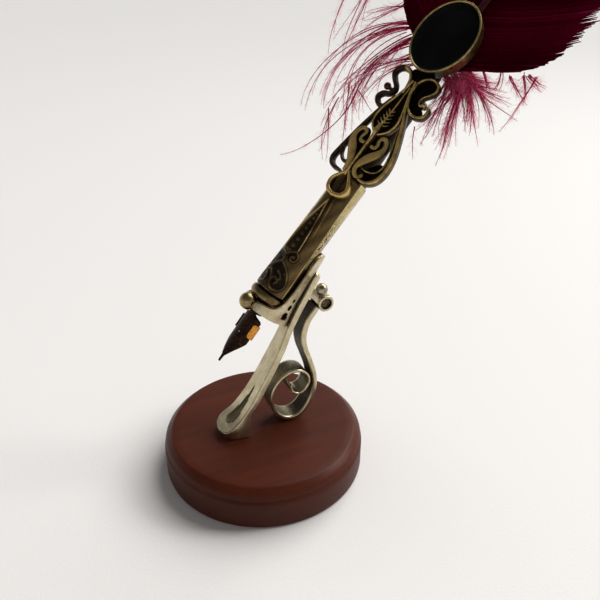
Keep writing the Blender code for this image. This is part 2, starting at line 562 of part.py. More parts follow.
# Feather
shaft = [(0.0, 164.4), (1.6, 164.4), (1.6, 190.0), (1.35, 220.0), (0.95, 260.0), (0.6, 300.0), (0.35, FEATHER_TIP), (0.0, FEATHER_TIP)]
lathe("feather_shaft", shaft, QUILL, PEN, "x", 14)
left_edge = [(162.4, 4.4), (165.0, 9.5), (168.0, 15.2), (171.6, 21.8), (176.0, 28.0), (181.0, 33.0), (190.0, 36.6), (206.0, 38.0)]
left_edge += [(240.0, 36.6), (272.0, 32.0), (296.0, 24.4), (312.0, 14.6), (319.5, 6.6), (FEATHER_TIP, 1.2)]
right_edge = [(162.2, 4.4), (163.9, 8.0), (165.6, 12.0), (168.0, 17.4), (170.8, 23.4), (173.5, 29.2), (180.4, 34.4), (196.0, 37.0)]
right_edge += [(236.0, 36.2), (268.0, 31.4), (292.0, 23.8), (310.0, 13.8), (318.6, 6.2), (FEATHER_TIP, 1.2)]
for name, edge, sign in (("vane_left", left_edge, 1), ("vane_right", right_edge, -1)):
    rim = [tuple(p) for p in spline(edge, 40)]
    inner_edge = [(FEATHER_TIP, 0.75), (300.0, 0.95), (260.0, 1.3), (220.0, 1.7), (190.0, 1.95), (183.0, 2.1), (182.6, 3.4), (170.0, 3.8)]
    outline = rim + inner_edge
    prism(name, [(s, v * sign) for s, v in outline], 0.0, 1.1, VANE, PEN, "xy")
down_left = [(167.0, 4.2), (160.0, 5.2), (150.0, 9.0), (136.0, 12.6), (120.0, 15.6), (113.0, 20.0), (116.0, 29.0), (124.0, 35.6), (138.0, 40.0)]
down_left += [(148.0, 44.0), (156.0, 55.0), (163.0, 66.0), (169.0, 69.0), (174.0, 60.0), (178.0, 46.0), (177.0, 33.0), (172.0, 20.0)]
down_right = [(168.0, 4.2), (160.0, 5.4), (152.0, 10.4), (142.0, 15.8), (132.0, 21.0), (130.0, 25.6), (136.0, 28.2), (148.0, 29.0)]
down_right += [(158.0, 33.6), (166.0, 35.0), (170.0, 30.0), (171.0, 20.0), (170.0, 10.0)]
for name, edge, sign in (("down_left", down_left, 1), ("down_right", down_right, -1)):
    rim = spline(edge, 36)
    prism(name, [(s, v * sign) for s, v in rim], -3.6, -0.6, DOWN, PEN, "xy")

# ---------------------------------------------------------------- nib

NIB_T = 0.4
nib_rows = [(NIB_TIP, 0.45, 4.0, 0.9), (31.4, 0.65, 4.0, 0.95), (33.0, 1.5, 4.2, 1.0), (36.0, 3.1, 4.6, 1.1), (38.4, 4.5, 5.0, 1.2)]
nib_rows += [(40.0, 5.4, 5.0, 1.3), (44.0, 5.4, 5.0, 1.5), (48.4, 5.4, 4.9, 1.8), (49.6, 5.7, 4.8, 1.9), (50.3, 5.0, 4.4, 2.0)]
nib_rows += [(51.0, 2.9, 2.6, 2.1), (51.4, 2.3, 2.1, 2.1), (62.0, 2.3, 2.1, 2.1)]
outer_rows = []
inner_rows = []
for s, arc, radius, crown in nib_rows:
    spans = np.linspace(-1, 1, 13)
    for rows, drop_by in ((outer_rows, 0.0), (inner_rows, NIB_T)):
        r = radius - drop_by
        shift = -0.3 if s < 50 else 0.0
        rows.append([(s, shift + r * math.sin(u * arc / radius), crown - radius + r * math.cos(u * arc / radius)) for u in spans])
nib = grid_solid("nib", outer_rows, inner_rows, DARK_BRONZE, PEN)
vent = lathe("vent_cutter", [(0.0, -3.0), (0.8, -3.0), (0.8, 5.0), (0.0, 5.0)], DARK_BRONZE, PEN, "z", 16)
for vertex in vent.data.vertices:
    vertex.co += Vector((42.6, 0, 0)) * MM
slit = prism("slit_cutter", [(27.0, -0.14), (42.6, -0.14), (42.6, 0.14), (27.0, 0.14)], -3.0, 5.0, DARK_BRONZE, PEN, "xy")
combine(nib, [vent, slit], "DIFFERENCE")

# Ink reservoir: a brass strip under the nib with a wing folded round each edge
strip_t = 0.35
outer_rows = []
inner_rows = []
for s, wrap in ((42.6, 0.55), (43.4, 0.85), (47.8, 0.85), (48.4, 0.55)):
    radius = 4.95
    crown = 1.5 + 0.06 * (s - 44)
    centre = crown - radius
    edge = 5.45 / radius
    under = radius - NIB_T - GAP - strip_t / 2
    over = radius + GAP + strip_t / 2
    bend = (over - under) / 2
    path = []
    for u in np.linspace(-1, 1, 9):
        turn = u * edge
        path.append((-0.3 + under * math.sin(turn), centre + under * math.cos(turn)))
    for sign in (1, -1):
        hook = []
        for k in range(1, 5):
            swing = math.pi * k / 5
            turn = edge + bend * math.sin(swing) / radius * 1.0
            r = under + bend * (1 - math.cos(swing))
            hook.append((-0.3 + sign * r * math.sin(turn), centre + r * math.cos(turn)))
        for turn in (edge, edge - wrap * 0.25, edge - wrap * 0.55):
            hook.append((-0.3 + sign * over * math.sin(turn), centre + over * math.cos(turn)))
        path = path + hook if sign == 1 else hook[::-1] + path
    flat = np.array(path)
    tangent = np.gradient(flat, axis=0)
    tangent /= np.linalg.norm(tangent, axis=1)[:, None]
    normal = np.column_stack([-tangent[:, 1], tangent[:, 0]])
    outer_rows.append([(s, *p) for p in flat + normal * strip_t / 2])
    inner_rows.append([(s, *p) for p in flat - normal * strip_t / 2])
grid_solid("nib_reservoir", outer_rows, inner_rows, BRASS, PEN)
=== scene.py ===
"""Looks of the feather dip pen and its desk stand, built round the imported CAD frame.

Lengths are in millimetres until the mesh helper scales them. Pen pieces are laid out as (s, v, n):
s along the pen's axis, v across its face, n out of its face.
"""

import math

import bmesh
import bpy
import numpy as np
from mathutils import Matrix, Vector


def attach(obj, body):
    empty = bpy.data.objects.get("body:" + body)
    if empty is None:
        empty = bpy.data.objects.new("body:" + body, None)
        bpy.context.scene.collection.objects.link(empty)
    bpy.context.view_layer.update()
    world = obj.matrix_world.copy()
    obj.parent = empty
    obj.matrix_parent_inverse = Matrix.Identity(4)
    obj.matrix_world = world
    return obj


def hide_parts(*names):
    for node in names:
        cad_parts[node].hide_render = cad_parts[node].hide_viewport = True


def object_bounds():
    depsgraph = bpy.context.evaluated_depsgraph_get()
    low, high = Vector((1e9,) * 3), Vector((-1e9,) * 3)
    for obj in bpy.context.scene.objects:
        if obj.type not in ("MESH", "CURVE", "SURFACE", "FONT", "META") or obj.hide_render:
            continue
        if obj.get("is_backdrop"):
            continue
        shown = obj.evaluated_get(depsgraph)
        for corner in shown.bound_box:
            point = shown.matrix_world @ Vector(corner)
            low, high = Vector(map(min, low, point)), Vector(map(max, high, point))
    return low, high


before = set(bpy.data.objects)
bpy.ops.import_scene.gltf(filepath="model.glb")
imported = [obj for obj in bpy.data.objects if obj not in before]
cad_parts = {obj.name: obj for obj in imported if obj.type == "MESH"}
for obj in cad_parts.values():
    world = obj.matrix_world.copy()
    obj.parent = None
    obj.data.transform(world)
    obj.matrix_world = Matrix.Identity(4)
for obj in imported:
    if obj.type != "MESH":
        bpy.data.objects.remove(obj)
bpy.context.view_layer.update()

columns = np.column_stack
MM = 0.001
rng = np.random.default_rng(7)

# ---------------------------------------------------------------- places shared with the CAD
PEN_TILT = math.radians(48.8)
PEN_ROLL = math.radians(21.8)
PEN_FOOT = np.array([-35.89, 0.0, 31.43])
ALONG = np.array([math.cos(PEN_TILT), 0.0, math.sin(PEN_TILT)])
UP_IN_PLANE = np.array([-math.sin(PEN_TILT), 0.0, math.cos(PEN_TILT)])
ACROSS = np.array([0.0, math.cos(PEN_ROLL), 0.0]) + UP_IN_PLANE * math.sin(PEN_ROLL)
OUTWARD = UP_IN_PLANE * math.cos(PEN_ROLL) - np.array([0.0, math.sin(PEN_ROLL), 0.0])

BASE_R, BASE_TOP_R, BASE_H = 41.0, 37.4, 17.5
PAD_R, PAD_T, GAP = 36.5, 1.2, 0.3
BAR_T, STRAP_W, SHEET_T = 2.5, 8.4, 0.8
RING = (57.9, 61.5)
RING_R = 7.0
GRIP_BORE_R = 4.0
CORE = (113.1, 160.0)
FERRULE = (160.3, 182.0)
OVAL_S, OVAL_N, OVAL_A, OVAL_B = 170.1, 8.4, 14.1, 12.1
FEATHER_TIP = 322.0


def pen(points):
    """(s, v, n) rows to row-frame millimetres."""
    p = np.asarray(points, float)
    return PEN_FOOT + p[:, :1] * ALONG + p[:, 1:2] * ACROSS + p[:, 2:3] * OUTWARD


def cradle_space(points):
    """(s, y, height above the pen's axis) rows to row-frame millimetres."""
    p = np.asarray(points, float)
    return PEN_FOOT + p[:, :1] * ALONG + p[:, 1:2] * np.array([0.0, 1.0, 0.0]) + p[:, 2:3] * UP_IN_PLANE


def circle(count):
    """count angles evenly round a turn."""
    return np.linspace(0, 2 * math.pi, count, endpoint=False)


def unit(rows, tiny=0.0):
    """Each row scaled to length 1."""
    return rows / (np.linalg.norm(rows, axis=-1, keepdims=True) + tiny)


def spline(points, count):
    """Catmull-Rom through the points, count samples evenly spaced along its length."""
    p = np.array(points, float)
    ends = np.vstack([2 * p[0] - p[1], p, 2 * p[-1] - p[-2]])
    t = np.linspace(0, 1, 24, endpoint=False)[:, None]
    fine = []
    for a, b, c, d in zip(ends, ends[1:], ends[2:], ends[3:]):
        square, cube = 2 * a - 5 * b + 4 * c - d, 3 * b - a - 3 * c + d
        fine.append(0.5 * (2 * b + (c - a) * t + square * t**2 + cube * t**3))
    fine = np.vstack(fine + [p[-1:]])
    length = np.concatenate([[0], np.cumsum(np.linalg.norm(np.diff(fine[:, :2], axis=0), axis=1))])
    want = np.linspace(0, length[-1], count)
    return columns([np.interp(want, length, fine[:, k]) for k in range(fine.shape[1])])


def closed_spline(points, count):
    """The same through a closed outline."""
    return spline(points + points[:1], count + 1)[:-1]


def smoothstep(low, high, x):
    t = np.clip((x - low) / (high - low), 0, 1)
    return t * t * (3 - 2 * t)


# ---------------------------------------------------------------- materials


class Nodes:
    """A short way to wire one material's nodes."""

    def __init__(self, name, colour, metallic, roughness, **sockets):
        self.mat = bpy.data.materials.new(name)
        self.mat.use_nodes = True
        self.tree = self.mat.node_tree
        self.shader = self.tree.nodes["Principled BSDF"]
        self.shader.inputs["Base Color"].default_value = (*colour, 1)
        self.shader.inputs["Metallic"].default_value = metallic
        self.shader.inputs["Roughness"].default_value = roughness
        for key, value in sockets.items():
            self.shader.inputs[key.replace("_", " ")].default_value = value
        self.mat.diffuse_color = (*colour, 1)

    def add(self, kind, inputs=(), **settings):
        node = self.tree.nodes.new(kind)
        for key, value in settings.items():
            setattr(node, key, value)
        for key, value in dict(inputs).items():
            if isinstance(value, bpy.types.NodeSocket):
                self.tree.links.new(value, node.inputs[key])
            else:
                node.inputs[key].default_value = value
        return node

    def place(self, scale=(1, 1, 1), rotation=(0, 0, 0)):
        """Object coordinates in millimetres, then scaled."""
        at = self.add("ShaderNodeTexCoord").outputs["Object"]
        size = tuple(1000.0 * k for k in scale)
        return self.add("ShaderNodeMapping",
            {"Vector": at, "Scale": size, "Rotation": rotation}).outputs["Vector"]

    def noise(self, scale, detail=3.0, at=None, rough=0.5):
        made = self.add("ShaderNodeTexNoise", {"Scale": scale, "Detail": detail, "Roughness": rough,
            "Vector": at or self.place()})
        return made.outputs["Fac"]

    def attribute(self, name):
        return self.add("ShaderNodeAttribute", attribute_name=name).outputs["Fac"]

    def span(self, value, low, high, to_low=0.0, to_high=1.0):
        made = self.add("ShaderNodeMapRange", {"Value": value, "From Min": low, "From Max": high,
            "To Min": to_low, "To Max": to_high})
        return made.outputs["Result"]

    def math(self, kind, a, b=0.0):
        return self.add("ShaderNodeMath", {0: a, 1: b}, operation=kind).outputs[0]

    def mix(self, factor, a, b):
        node = self.tree.nodes.new("ShaderNodeMix")
        node.data_type = "RGBA"
        for socket, value in ((node.inputs[0], factor), (node.inputs[6], a), (node.inputs[7], b)):
            if isinstance(value, bpy.types.NodeSocket):
                self.tree.links.new(value, socket)
            else:
                socket.default_value = (*value, 1) if isinstance(value, tuple) else value
        return node.outputs[2]

    def ramp(self, value, stops):
        node = self.add("ShaderNodeValToRGB", {"Fac": value})
        for _ in stops[2:]:
            node.color_ramp.elements.new(0.5)
        for element, (at, colour) in zip(node.color_ramp.elements, stops):
            element.position = at
            element.color = (*colour, 1)
        return node.outputs["Color"]

    def colour(self, value):
        self.tree.links.new(value, self.shader.inputs["Base Color"])

    def rough(self, value):
        self.tree.links.new(value, self.shader.inputs["Roughness"])

    def bump(self, height, distance, strength=1.0):
        """distance in millimetres"""
        made = self.add("ShaderNodeBump", {"Height": height, "Distance": distance * MM, "Strength": strength})
        self.tree.links.new(made.outputs["Normal"], self.shader.inputs["Normal"])

    def facing(self, vector, low, high):
        """How squarely the surface faces along a fixed direction of the object, either way round."""
        normal = self.add("ShaderNodeNewGeometry").outputs["Normal"]
        dot = self.add("ShaderNodeVectorMath", {0: normal, 1: tuple(vector)},
            operation="DOT_PRODUCT").outputs["Value"]
        return self.span(self.math("ABSOLUTE", dot), low, high)


def wood():
    m = Nodes("mahogany", (0.075, 0.018, 0.008), 0.0, 0.4, Specular_IOR_Level=0.12)
    turn = (0, 0, math.radians(22))
    grain = m.noise(1.0, 6.0, m.place((0.06, 4.2, 4.2), turn), 0.68)
    broad = m.noise(1.0, 3.0, m.place((0.012, 0.16, 0.16), turn))
    pores = m.noise(1.0, 2.0, m.place((0.5, 8.0, 8.0), turn), 0.7)
    base = m.ramp(grain, [(0.25, (0.052, 0.0085, 0.0028)), (0.52, (0.076, 0.0145, 0.0052)),
        (0.8, (0.108, 0.0235, 0.0085))])
    base = m.mix(m.span(broad, 0.35, 0.7, 0.0, 0.45), base, (0.032, 0.0065, 0.0035))
    base = m.mix(m.span(pores, 0.58, 0.68, 0.0, 0.6), base, (0.022, 0.004, 0.002))
    # Painted shade on the base's upright sides: they are mixed 45% toward a darker, duller brown; the streaks
    # laid on them after are the wood's own.
    side = m.span(m.facing((0, 0, 1), 0.1, 0.5), 0.0, 1.0, 1.0, 0.0)
    lines = m.noise(1.0, 4.0, m.place((4.5, 4.5, 0.22)), 0.65)
    base = m.mix(m.math("MULTIPLY", side, 0.45), base, (0.056, 0.0165, 0.0105))
    base = m.mix(m.math("MULTIPLY", side, m.span(lines, 0.46, 0.66, 0.0, 0.6)), base, (0.030, 0.0085, 0.0055))
    m.colour(base)
    m.rough(m.math("SUBTRACT", m.span(grain, 0.2, 0.8, 0.40, 0.50), m.math("MULTIPLY", m.attribute("wear"),
        0.12)))
    m.bump(m.math("ADD", grain, m.span(pores, 0.6, 0.75, 0.0, -0.6)), 0.05)
    return m.mat


def felt():
    m = Nodes("felt", (0.02, 0.045, 0.03), 0.0, 0.95, Sheen_Weight=0.5, Sheen_Roughness=0.5)
    fibres = m.noise(2.2, 6.0, rough=0.7)
    m.colour(m.ramp(fibres, [(0.35, (0.010, 0.024, 0.016)), (0.7, (0.035, 0.070, 0.048))]))
    m.bump(fibres, 0.3)
    return m.mat


def nickel(name="antique_nickel", dark=0.0):
    """Worn nickel silver: pale where the per-point wear value is high, brown-black where it is low. The dark
    is tarnish, and on some pieces painted shade as well; a painted red reflection is mixed in per point.
    """
    m = Nodes(name, (0.50, 0.44, 0.30), 1.0, 0.3)
    cloud = m.noise(0.22, 5.0, rough=0.65)
    fine = m.noise(2.4, 4.0, rough=0.7)
    pits = m.noise(1.3, 2.0, rough=0.5)
    clean = m.ramp(cloud, [(0.3, (0.40, 0.335, 0.205)), (0.55, (0.55, 0.475, 0.31)),
        (0.75, (0.67, 0.60, 0.43))])
    clean = m.mix(m.span(fine, 0.58, 0.75, 0.0, 0.22), clean, (0.2, 0.155, 0.08))
    worn_and_lit = m.attribute("wear")
    worn_and_lit = m.math("ADD", worn_and_lit, m.span(fine, 0.3, 0.7, -0.1, 0.1))
    tarnish_and_shade = m.span(worn_and_lit, 0.2 + dark, 0.62 + dark)
    base = m.mix(tarnish_and_shade, (0.030, 0.024, 0.015), clean)
    base = m.mix(m.span(pits, 0.72, 0.75, 0.0, 0.8), base, (0.03, 0.02, 0.01))
    # A painted red reflection, mixed in per point.
    base = m.mix(m.attribute("warm"), base, (0.22, 0.070, 0.045))
    m.colour(base)
    m.rough(m.span(worn_and_lit, 0.1, 0.9, 0.55, 0.27))
    m.bump(m.math("ADD", m.math("MULTIPLY", fine, 0.35), m.math("MULTIPLY", cloud, 0.6)), 0.05)
    return m.mat


def cast(name="cast_recess"):
    """Rough cast floor of a recess."""
    m = Nodes(name, (0.06, 0.05, 0.03), 1.0, 0.6)
    lumps = m.add("ShaderNodeTexVoronoi", {"Scale": 1.5, "Vector": m.place()}).outputs["Distance"]
    fine = m.noise(2.6, 4.0, rough=0.7)
    m.colour(m.ramp(fine, [(0.32, (0.022, 0.018, 0.010)), (0.5, (0.15, 0.125, 0.072)),
        (0.72, (0.42, 0.37, 0.23))]))
    m.bump(m.math("ADD", lumps, fine), 0.35)
    return m.mat


def bronze(name="antique_bronze", kind="relief"):
    """Dark patina in the hollows and on the flanks, rubbed gold on the ridges; on some pieces the per-point
    value it reads also holds painted highlights and painted shade.
    """
    m = Nodes(name, (0.14, 0.095, 0.038), 0.75, 0.36, Specular_IOR_Level=0.25)
    cloud = m.noise(0.35, 4.0, rough=0.6)
    fine = m.noise(3.0, 3.0, rough=0.6)
    if kind == "wire":
        high = m.facing(OUTWARD, 0.62, 1.0)
        high = m.math("MULTIPLY", high, m.span(cloud, 0.25, 0.6, 0.75, 1.15))
    else:
        high = m.attribute("wear")
    high = m.math("ADD", high, m.span(fine, 0.3, 0.7, -0.07, 0.07))
    base = m.ramp(high, [(0.10, (0.006, 0.0040, 0.0024)), (0.42, (0.046, 0.029, 0.011)),
        (0.62, (0.120, 0.077, 0.026)), (0.95, (0.60, 0.41, 0.135))])
    base = m.mix(m.span(cloud, 0.5, 0.75, 0.0, 0.3), base, (0.070, 0.030, 0.014))
    if kind == "relief":
        facet = m.attribute("facet")
        pits = m.noise(2.3, 2.0, rough=0.45)
        spots = m.math("MULTIPLY", m.span(pits, 0.50, 0.54, 0.0, 1.0), m.attribute("pitted"))
        tint = m.ramp(cloud, [(0.3, (0.40, 0.31, 0.13)), (0.65, (0.62, 0.51, 0.26))])
        bright = m.mix(spots, tint, (0.03, 0.02, 0.01))
        base = m.mix(facet, base, bright)
    m.colour(base)
    m.rough(m.span(high, 0.1, 0.9, 0.46, 0.24))
    m.bump(fine, 0.03)
    return m.mat


def polished(name, tint, rough):
    m = Nodes(name, tint, 1.0, rough)
    cloud = m.noise(0.5, 4.0, rough=0.6)
    low = tuple(0.34 * k for k in tint)
    m.colour(m.mix(m.attribute("stain"), m.mix(m.span(cloud, 0.35, 0.7), tint, low), (0.010, 0.0065, 0.004)))
    m.rough(m.span(cloud, 0.3, 0.7, rough * 0.8, rough * 1.6))
    m.bump(m.noise(2.0, 3.0), 0.02)
    return m.mat


def stone():
    m = Nodes("black_onyx", (0.0018, 0.0018, 0.0020), 0.0, 0.12, Specular_IOR_Level=0.1)
    m.colour(m.ramp(m.noise(0.12, 3.0), [(0.4, (0.0016, 0.0016, 0.0018)), (0.8, (0.005, 0.005, 0.0055))]))
    return m.mat


def dark_nib():
    m = Nodes("blued_nib", (0.02, 0.011, 0.008), 1.0, 0.42)
    crust = m.noise(0.9, 6.0, rough=0.72)
    fine = m.noise(4.5, 3.0)
    m.colour(m.ramp(crust, [(0.35, (0.010, 0.0055, 0.004)), (0.55, (0.032, 0.0165, 0.010)),
        (0.72, (0.11, 0.060, 0.034))]))
    m.rough(m.span(crust, 0.35, 0.7, 0.35, 0.62))
    m.bump(m.math("ADD", crust, m.math("MULTIPLY", fine, 0.4)), 0.16)
    return m.mat


def amber():
    m = Nodes("amber_brass", (0.62, 0.27, 0.035), 0.85, 0.3)
    spots = m.noise(1.6, 4.0, rough=0.6)
    clean = m.ramp(spots, [(0.3, (0.25, 0.085, 0.01)), (0.45, (0.58, 0.235, 0.03)),
        (0.75, (0.72, 0.38, 0.09))])
    m.colour(m.mix(m.attribute("stain"), clean, (0.022, 0.010, 0.006)))
    m.bump(spots, 0.04)
    return m.mat


def steel():
    m = Nodes("steel", (0.42, 0.42, 0.41), 1.0, 0.35)
    m.rough(m.span(m.noise(1.5, 3.0), 0.3, 0.7, 0.28, 0.5))
    m.colour(m.ramp(m.noise(0.6, 3.0), [(0.3, (0.28, 0.28, 0.27)), (0.7, (0.48, 0.48, 0.46))]))
    return m.mat


def vane_material():
    m = Nodes("burgundy_vane", (0.018, 0.0006, 0.0022), 0.0, 0.8, Specular_IOR_Level=0.0)
    tone = m.attribute("tone")
    fine = m.noise(2.0, 4.0)
    base = m.ramp(tone, [(0.0, (0.014, 0.0001, 0.0014)), (0.4, (0.036, 0.0001, 0.0034)),
        (0.75, (0.100, 0.0020, 0.0160)), (1.0, (0.34, 0.045, 0.13))])
    m.colour(m.mix(m.span(fine, 0.4, 0.8, 0.0, 0.5), base, (0.008, 0.0003, 0.001)))
    return m.mat


def down_material():
    m = Nodes("crimson_down", (0.30, 0.02, 0.09), 0.0, 0.8, Specular_IOR_Level=0.03)
    tone = m.attribute("tone")
    m.colour(m.ramp(tone, [(0.0, (0.15, 0.0004, 0.016)), (0.4, (0.42, 0.004, 0.062)),
        (0.7, (0.74, 0.07, 0.19)), (1.0, (0.92, 0.34, 0.48))]))
    return m.mat


def quill_material():
    m = Nodes("quill", (0.10, 0.015, 0.02), 0.0, 0.55, Specular_IOR_Level=0.15)
    lines = m.noise(1.0, 3.0, m.place((1.2, 1.2, 1.2)))
    m.colour(m.ramp(lines, [(0.3, (0.02, 0.0008, 0.003)), (0.7, (0.07, 0.006, 0.012))]))
    m.bump(lines, 0.05)
    return m.mat


WOOD, FELT, NICKEL, CAST = wood(), felt(), nickel(), cast()
RELIEF, WIRE, CAST_BRONZE = bronze(), bronze("bronze_wire", "wire"), bronze("cast_bronze", "cast")
PLATE = polished("dark_bronze_plate", (0.016, 0.0105, 0.006), 0.4)
RING_METAL = polished("ring_bronze", (0.24, 0.165, 0.075), 0.24)
BALL_METAL = polished("ball_bronze", (0.38, 0.285, 0.13), 0.24)
BEZEL = polished("bezel_bronze", (0.40, 0.305, 0.125), 0.3)
KNOB = polished("knob_bronze", (0.06, 0.025, 0.015), 0.25)
ONYX, NIB, AMBER, STEEL = stone(), dark_nib(), amber(), steel()
VANE, DOWN, QUILL = vane_material(), down_material(), quill_material()

# ---------------------------------------------------------------- mesh helpers


def piece(name, points, faces, mat, body, stands_for=(), slot=None, wear=None, sharp=35.0, **attributes):
    """One mesh from row-frame millimetres. The wear value, which on some pieces also carries painted
    highlights and painted shade, and other attributes are one value per point.
    """
    mesh = bpy.data.meshes.new(name)
    mesh.from_pydata((np.asarray(points, float) * MM).tolist(), [], [tuple(int(i) for i in f) for f in faces])
    mesh.update()
    for key, values in {"wear": wear, **attributes}.items():
        if values is not None:
            layer = mesh.attributes.new(key, "FLOAT", "POINT")
            layer.data.foreach_set("value", np.asarray(values, np.float32))
    mesh.validate()
    mesh.shade_smooth()
    if sharp:
        mesh.set_sharp_from_angle(angle=math.radians(sharp))
    made = bpy.data.objects.new(name, mesh)
    mesh.materials.append(mat)
    bpy.context.scene.collection.objects.link(made)
    if body:
        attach(made, body)
    if stands_for:
        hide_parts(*stands_for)
    return made


def loft(rings, closed=False):
    """Joins rings of equal length in turn; the ends are capped, or joined to each other when closed."""
    rings = [np.asarray(r, float) for r in rings]
    count = len(rings[0])
    points = np.vstack(rings)
    faces = []
    for i in range(len(rings) - (0 if closed else 1)):
        m = (i + 1) % len(rings)
        for k in range(count):
            j = (k + 1) % count
            faces.append((i * count + k, i * count + j, m * count + j, m * count + k))
    if not closed:
        last = (len(rings) - 1) * count
        faces.append(tuple(range(count))[::-1])
        faces.append(tuple(range(last, last + count)))
    return points, faces


def outwards(obj):
    """Turns a closed mesh's faces outwards."""
    bm = bmesh.new()
    bm.from_mesh(obj.data)
    bmesh.ops.remove_doubles(bm, verts=bm.verts, dist=1e-8)
    bmesh.ops.recalc_face_normals(bm, faces=bm.faces)
    if bm.calc_volume(signed=True) < 0:
        bmesh.ops.reverse_faces(bm, faces=bm.faces)
    bm.to_mesh(obj.data)
    bm.free()
    return obj


def solid(*shape, **looks):
    """A closed piece with its faces turned outwards."""
    return outwards(piece(*shape, **looks))


def rounded(profile, radius, steps=4):
    """A polyline with its inner corners rounded."""
    p = [np.array(q, float) for q in profile]
    out = [p[0]]
    for a, b, c in zip(p, p[1:], p[2:]):
        u, w = a - b, c - b
        lu, lw = np.linalg.norm(u), np.linalg.norm(w)
        r = min(radius, lu * 0.45, lw * 0.45)
        start, end = b + u / max(lu, 1e-9) * r, b + w / max(lw, 1e-9) * r
        for t in np.linspace(0, 1, steps + 1):
            out.append((1 - t) ** 2 * start + 2 * t * (1 - t) * b + t * t * end)
    out.append(p[-1])
    return out


def turned(name, profile, to_space, mat, body, segments=96, wear=None, **more):
    """A solid turned about an axis from (radius, height) pairs; to_space takes (height, side, side) rows."""
    turns = circle(segments)
    rings = [to_space(columns([np.full(segments, h), r * np.cos(turns), r * np.sin(turns)]))
        for r, h in profile]
    hollow = profile[0][0] > 0.02 and profile[-1][0] > 0.02
    points, faces = loft(rings, closed=hollow)
    values = None if wear is None else np.repeat([wear(r, h) for r, h in profile], segments)
    return solid(name, points, faces, mat, body, wear=values, **more)


def upright(points):
    """(height, x, y) rows to row-frame millimetres."""
    p = np.asarray(points, float)
    return columns([p[:, 1], p[:, 2], p[:, 0]])


def crosswise(x, z):
    """Rows (y, side, side) about a line across the stand through (x, z)."""
    return lambda p: columns([x + p[:, 2], p[:, 0], z + p[:, 1]])


def sphere(name, radius, centre, mat, body, rings=32, segments=48, **more):
    steps = np.linspace(0.02, math.pi - 0.02, rings)
    profile = [(radius * math.sin(t), -radius * math.cos(t)) for t in steps]
    profile = [(0.001, -radius)] + profile + [(0.001, radius)]
    return turned(name, profile, lambda p: upright(p) + np.asarray(centre), mat, body, segments, **more)


def section_tube(path, half, height, sides=14, cap=0.8):
    """Rings of an oval section round a path of (s, v, n) rows, from its half widths and half heights."""
    tangent = unit(np.gradient(path[:, :3], axis=0))
    side = unit(np.cross(np.array([0.0, 0.0, 1.0]), tangent))
    up = np.cross(tangent, side)
    turns = circle(sides)
    ends = [(0, -cap, 0.35), (0, -cap * 0.6, 0.78)] + [(i, 0.0, 1.0) for i in range(len(path))]
    ends += [(len(path) - 1, cap * 0.6, 0.78), (len(path) - 1, cap, 0.35)]
    rings = []
    for i, out, scale in ends:
        centre = path[i, :3] + tangent[i] * out * half[i]
        rings.append(centre + scale * (np.outer(np.cos(turns), side[i]) * half[i] + np.outer(np.sin(turns),
            up[i]) * height[i]))
    return rings


# Half section of a cast rail: across as a share of the half width, height in mm from the crest, wear
RAIL = [(0, 0, 1), (0.28, -0.02, 1), (0.52, -0.12, 0.8), (0.72, -0.34, 0.42), (0.86, -0.62, 0.2),
    (0.94, -1, 0.16)]


def rail(name, points, count=90, deep=1.6, crown=1.0, shade=1.0, flank_light=0.35):
    """A cast rail through (s, v, n, half width) points: a rubbed crest with dark flanks down to deep. shade
    scales the whole rail's brightness: painted shade below 1, painted light above it, over the tarnish; flank
    lightens the flanks that face -v, and a little -s: a painted highlight.
    """
    path = spline(points, count)
    tangent = np.gradient(path[:, :3], axis=0)
    tangent[:, 2] = 0
    tangent = unit(tangent)
    side = columns([-tangent[:, 1], tangent[:, 0], np.zeros(count)])
    half = [(x, z * crown, w) for x, z, w in RAIL] + [(1.0, -deep, 0.12)]
    line = half + [(-x, z, w) for x, z, w in half[:0:-1]]
    rings, wear = [], []
    ends = [(0, -0.75, 0.55), (0, -0.45, 0.86)] + [(i, 0.0, 1.0) for i in range(count)] + [(count - 1, 0.45,
        0.86), (count - 1, 0.75, 0.55)]
    for i, out, scale in ends:
        h = path[i, 3]
        top = path[i, 2] + h * 0.8
        ring = [path[i, :3] * (1, 1, 0) + tangent[i] * out * h + side[i] * x * h * scale
            + (0, 0, top + z - (1 - scale) * 0.4) for x, z, _ in line]
        rings.append(ring)
        bright = shade * (1 + 0.10 * math.sin(i * 0.23) + 0.06 * math.sin(i * 0.71 + 1))
        for x, z, w in line:
            # Painted highlight: flanks facing -v, and a little -s, are lightened by the flank gain.
            facing = max(0.0, -(side[i, 0] * 0.35 + side[i, 1] * 0.94) * (1 if x > 0 else -1))
            wear.append((w + flank_light * facing * (w < 0.5)) * bright)
    verts, faces = loft(rings)
    return solid(name, pen(verts), faces, CAST_BRONZE, "pen", sharp=None, wear=wear)


def wire(name, points, mat=None, body="pen", count=90, sides=14, flat=1.0, stands_for=(), slot="bronze",
    cap=0.8):
    """A rounded wire through (s, v, n, half width) points."""
    path = spline(points, count)
    rings = section_tube(path, path[:, 3], path[:, 3] * flat, sides, cap)
    verts, faces = loft(rings)
    return solid(name, pen(verts), faces, mat or WIRE, body, stands_for, slot, sharp=None)


def join(name, parts, stands_for=()):
    """Joins finished pieces into the first one under a new name."""
    if len(parts) > 1:
        with bpy.context.temp_override(active_object=parts[0], selected_editable_objects=parts,
            selected_objects=parts):
            bpy.ops.object.join()
    parts[0].name = name
    parts[0].data.name = name
    if stands_for:
        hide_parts(*stands_for)
    return parts[0]


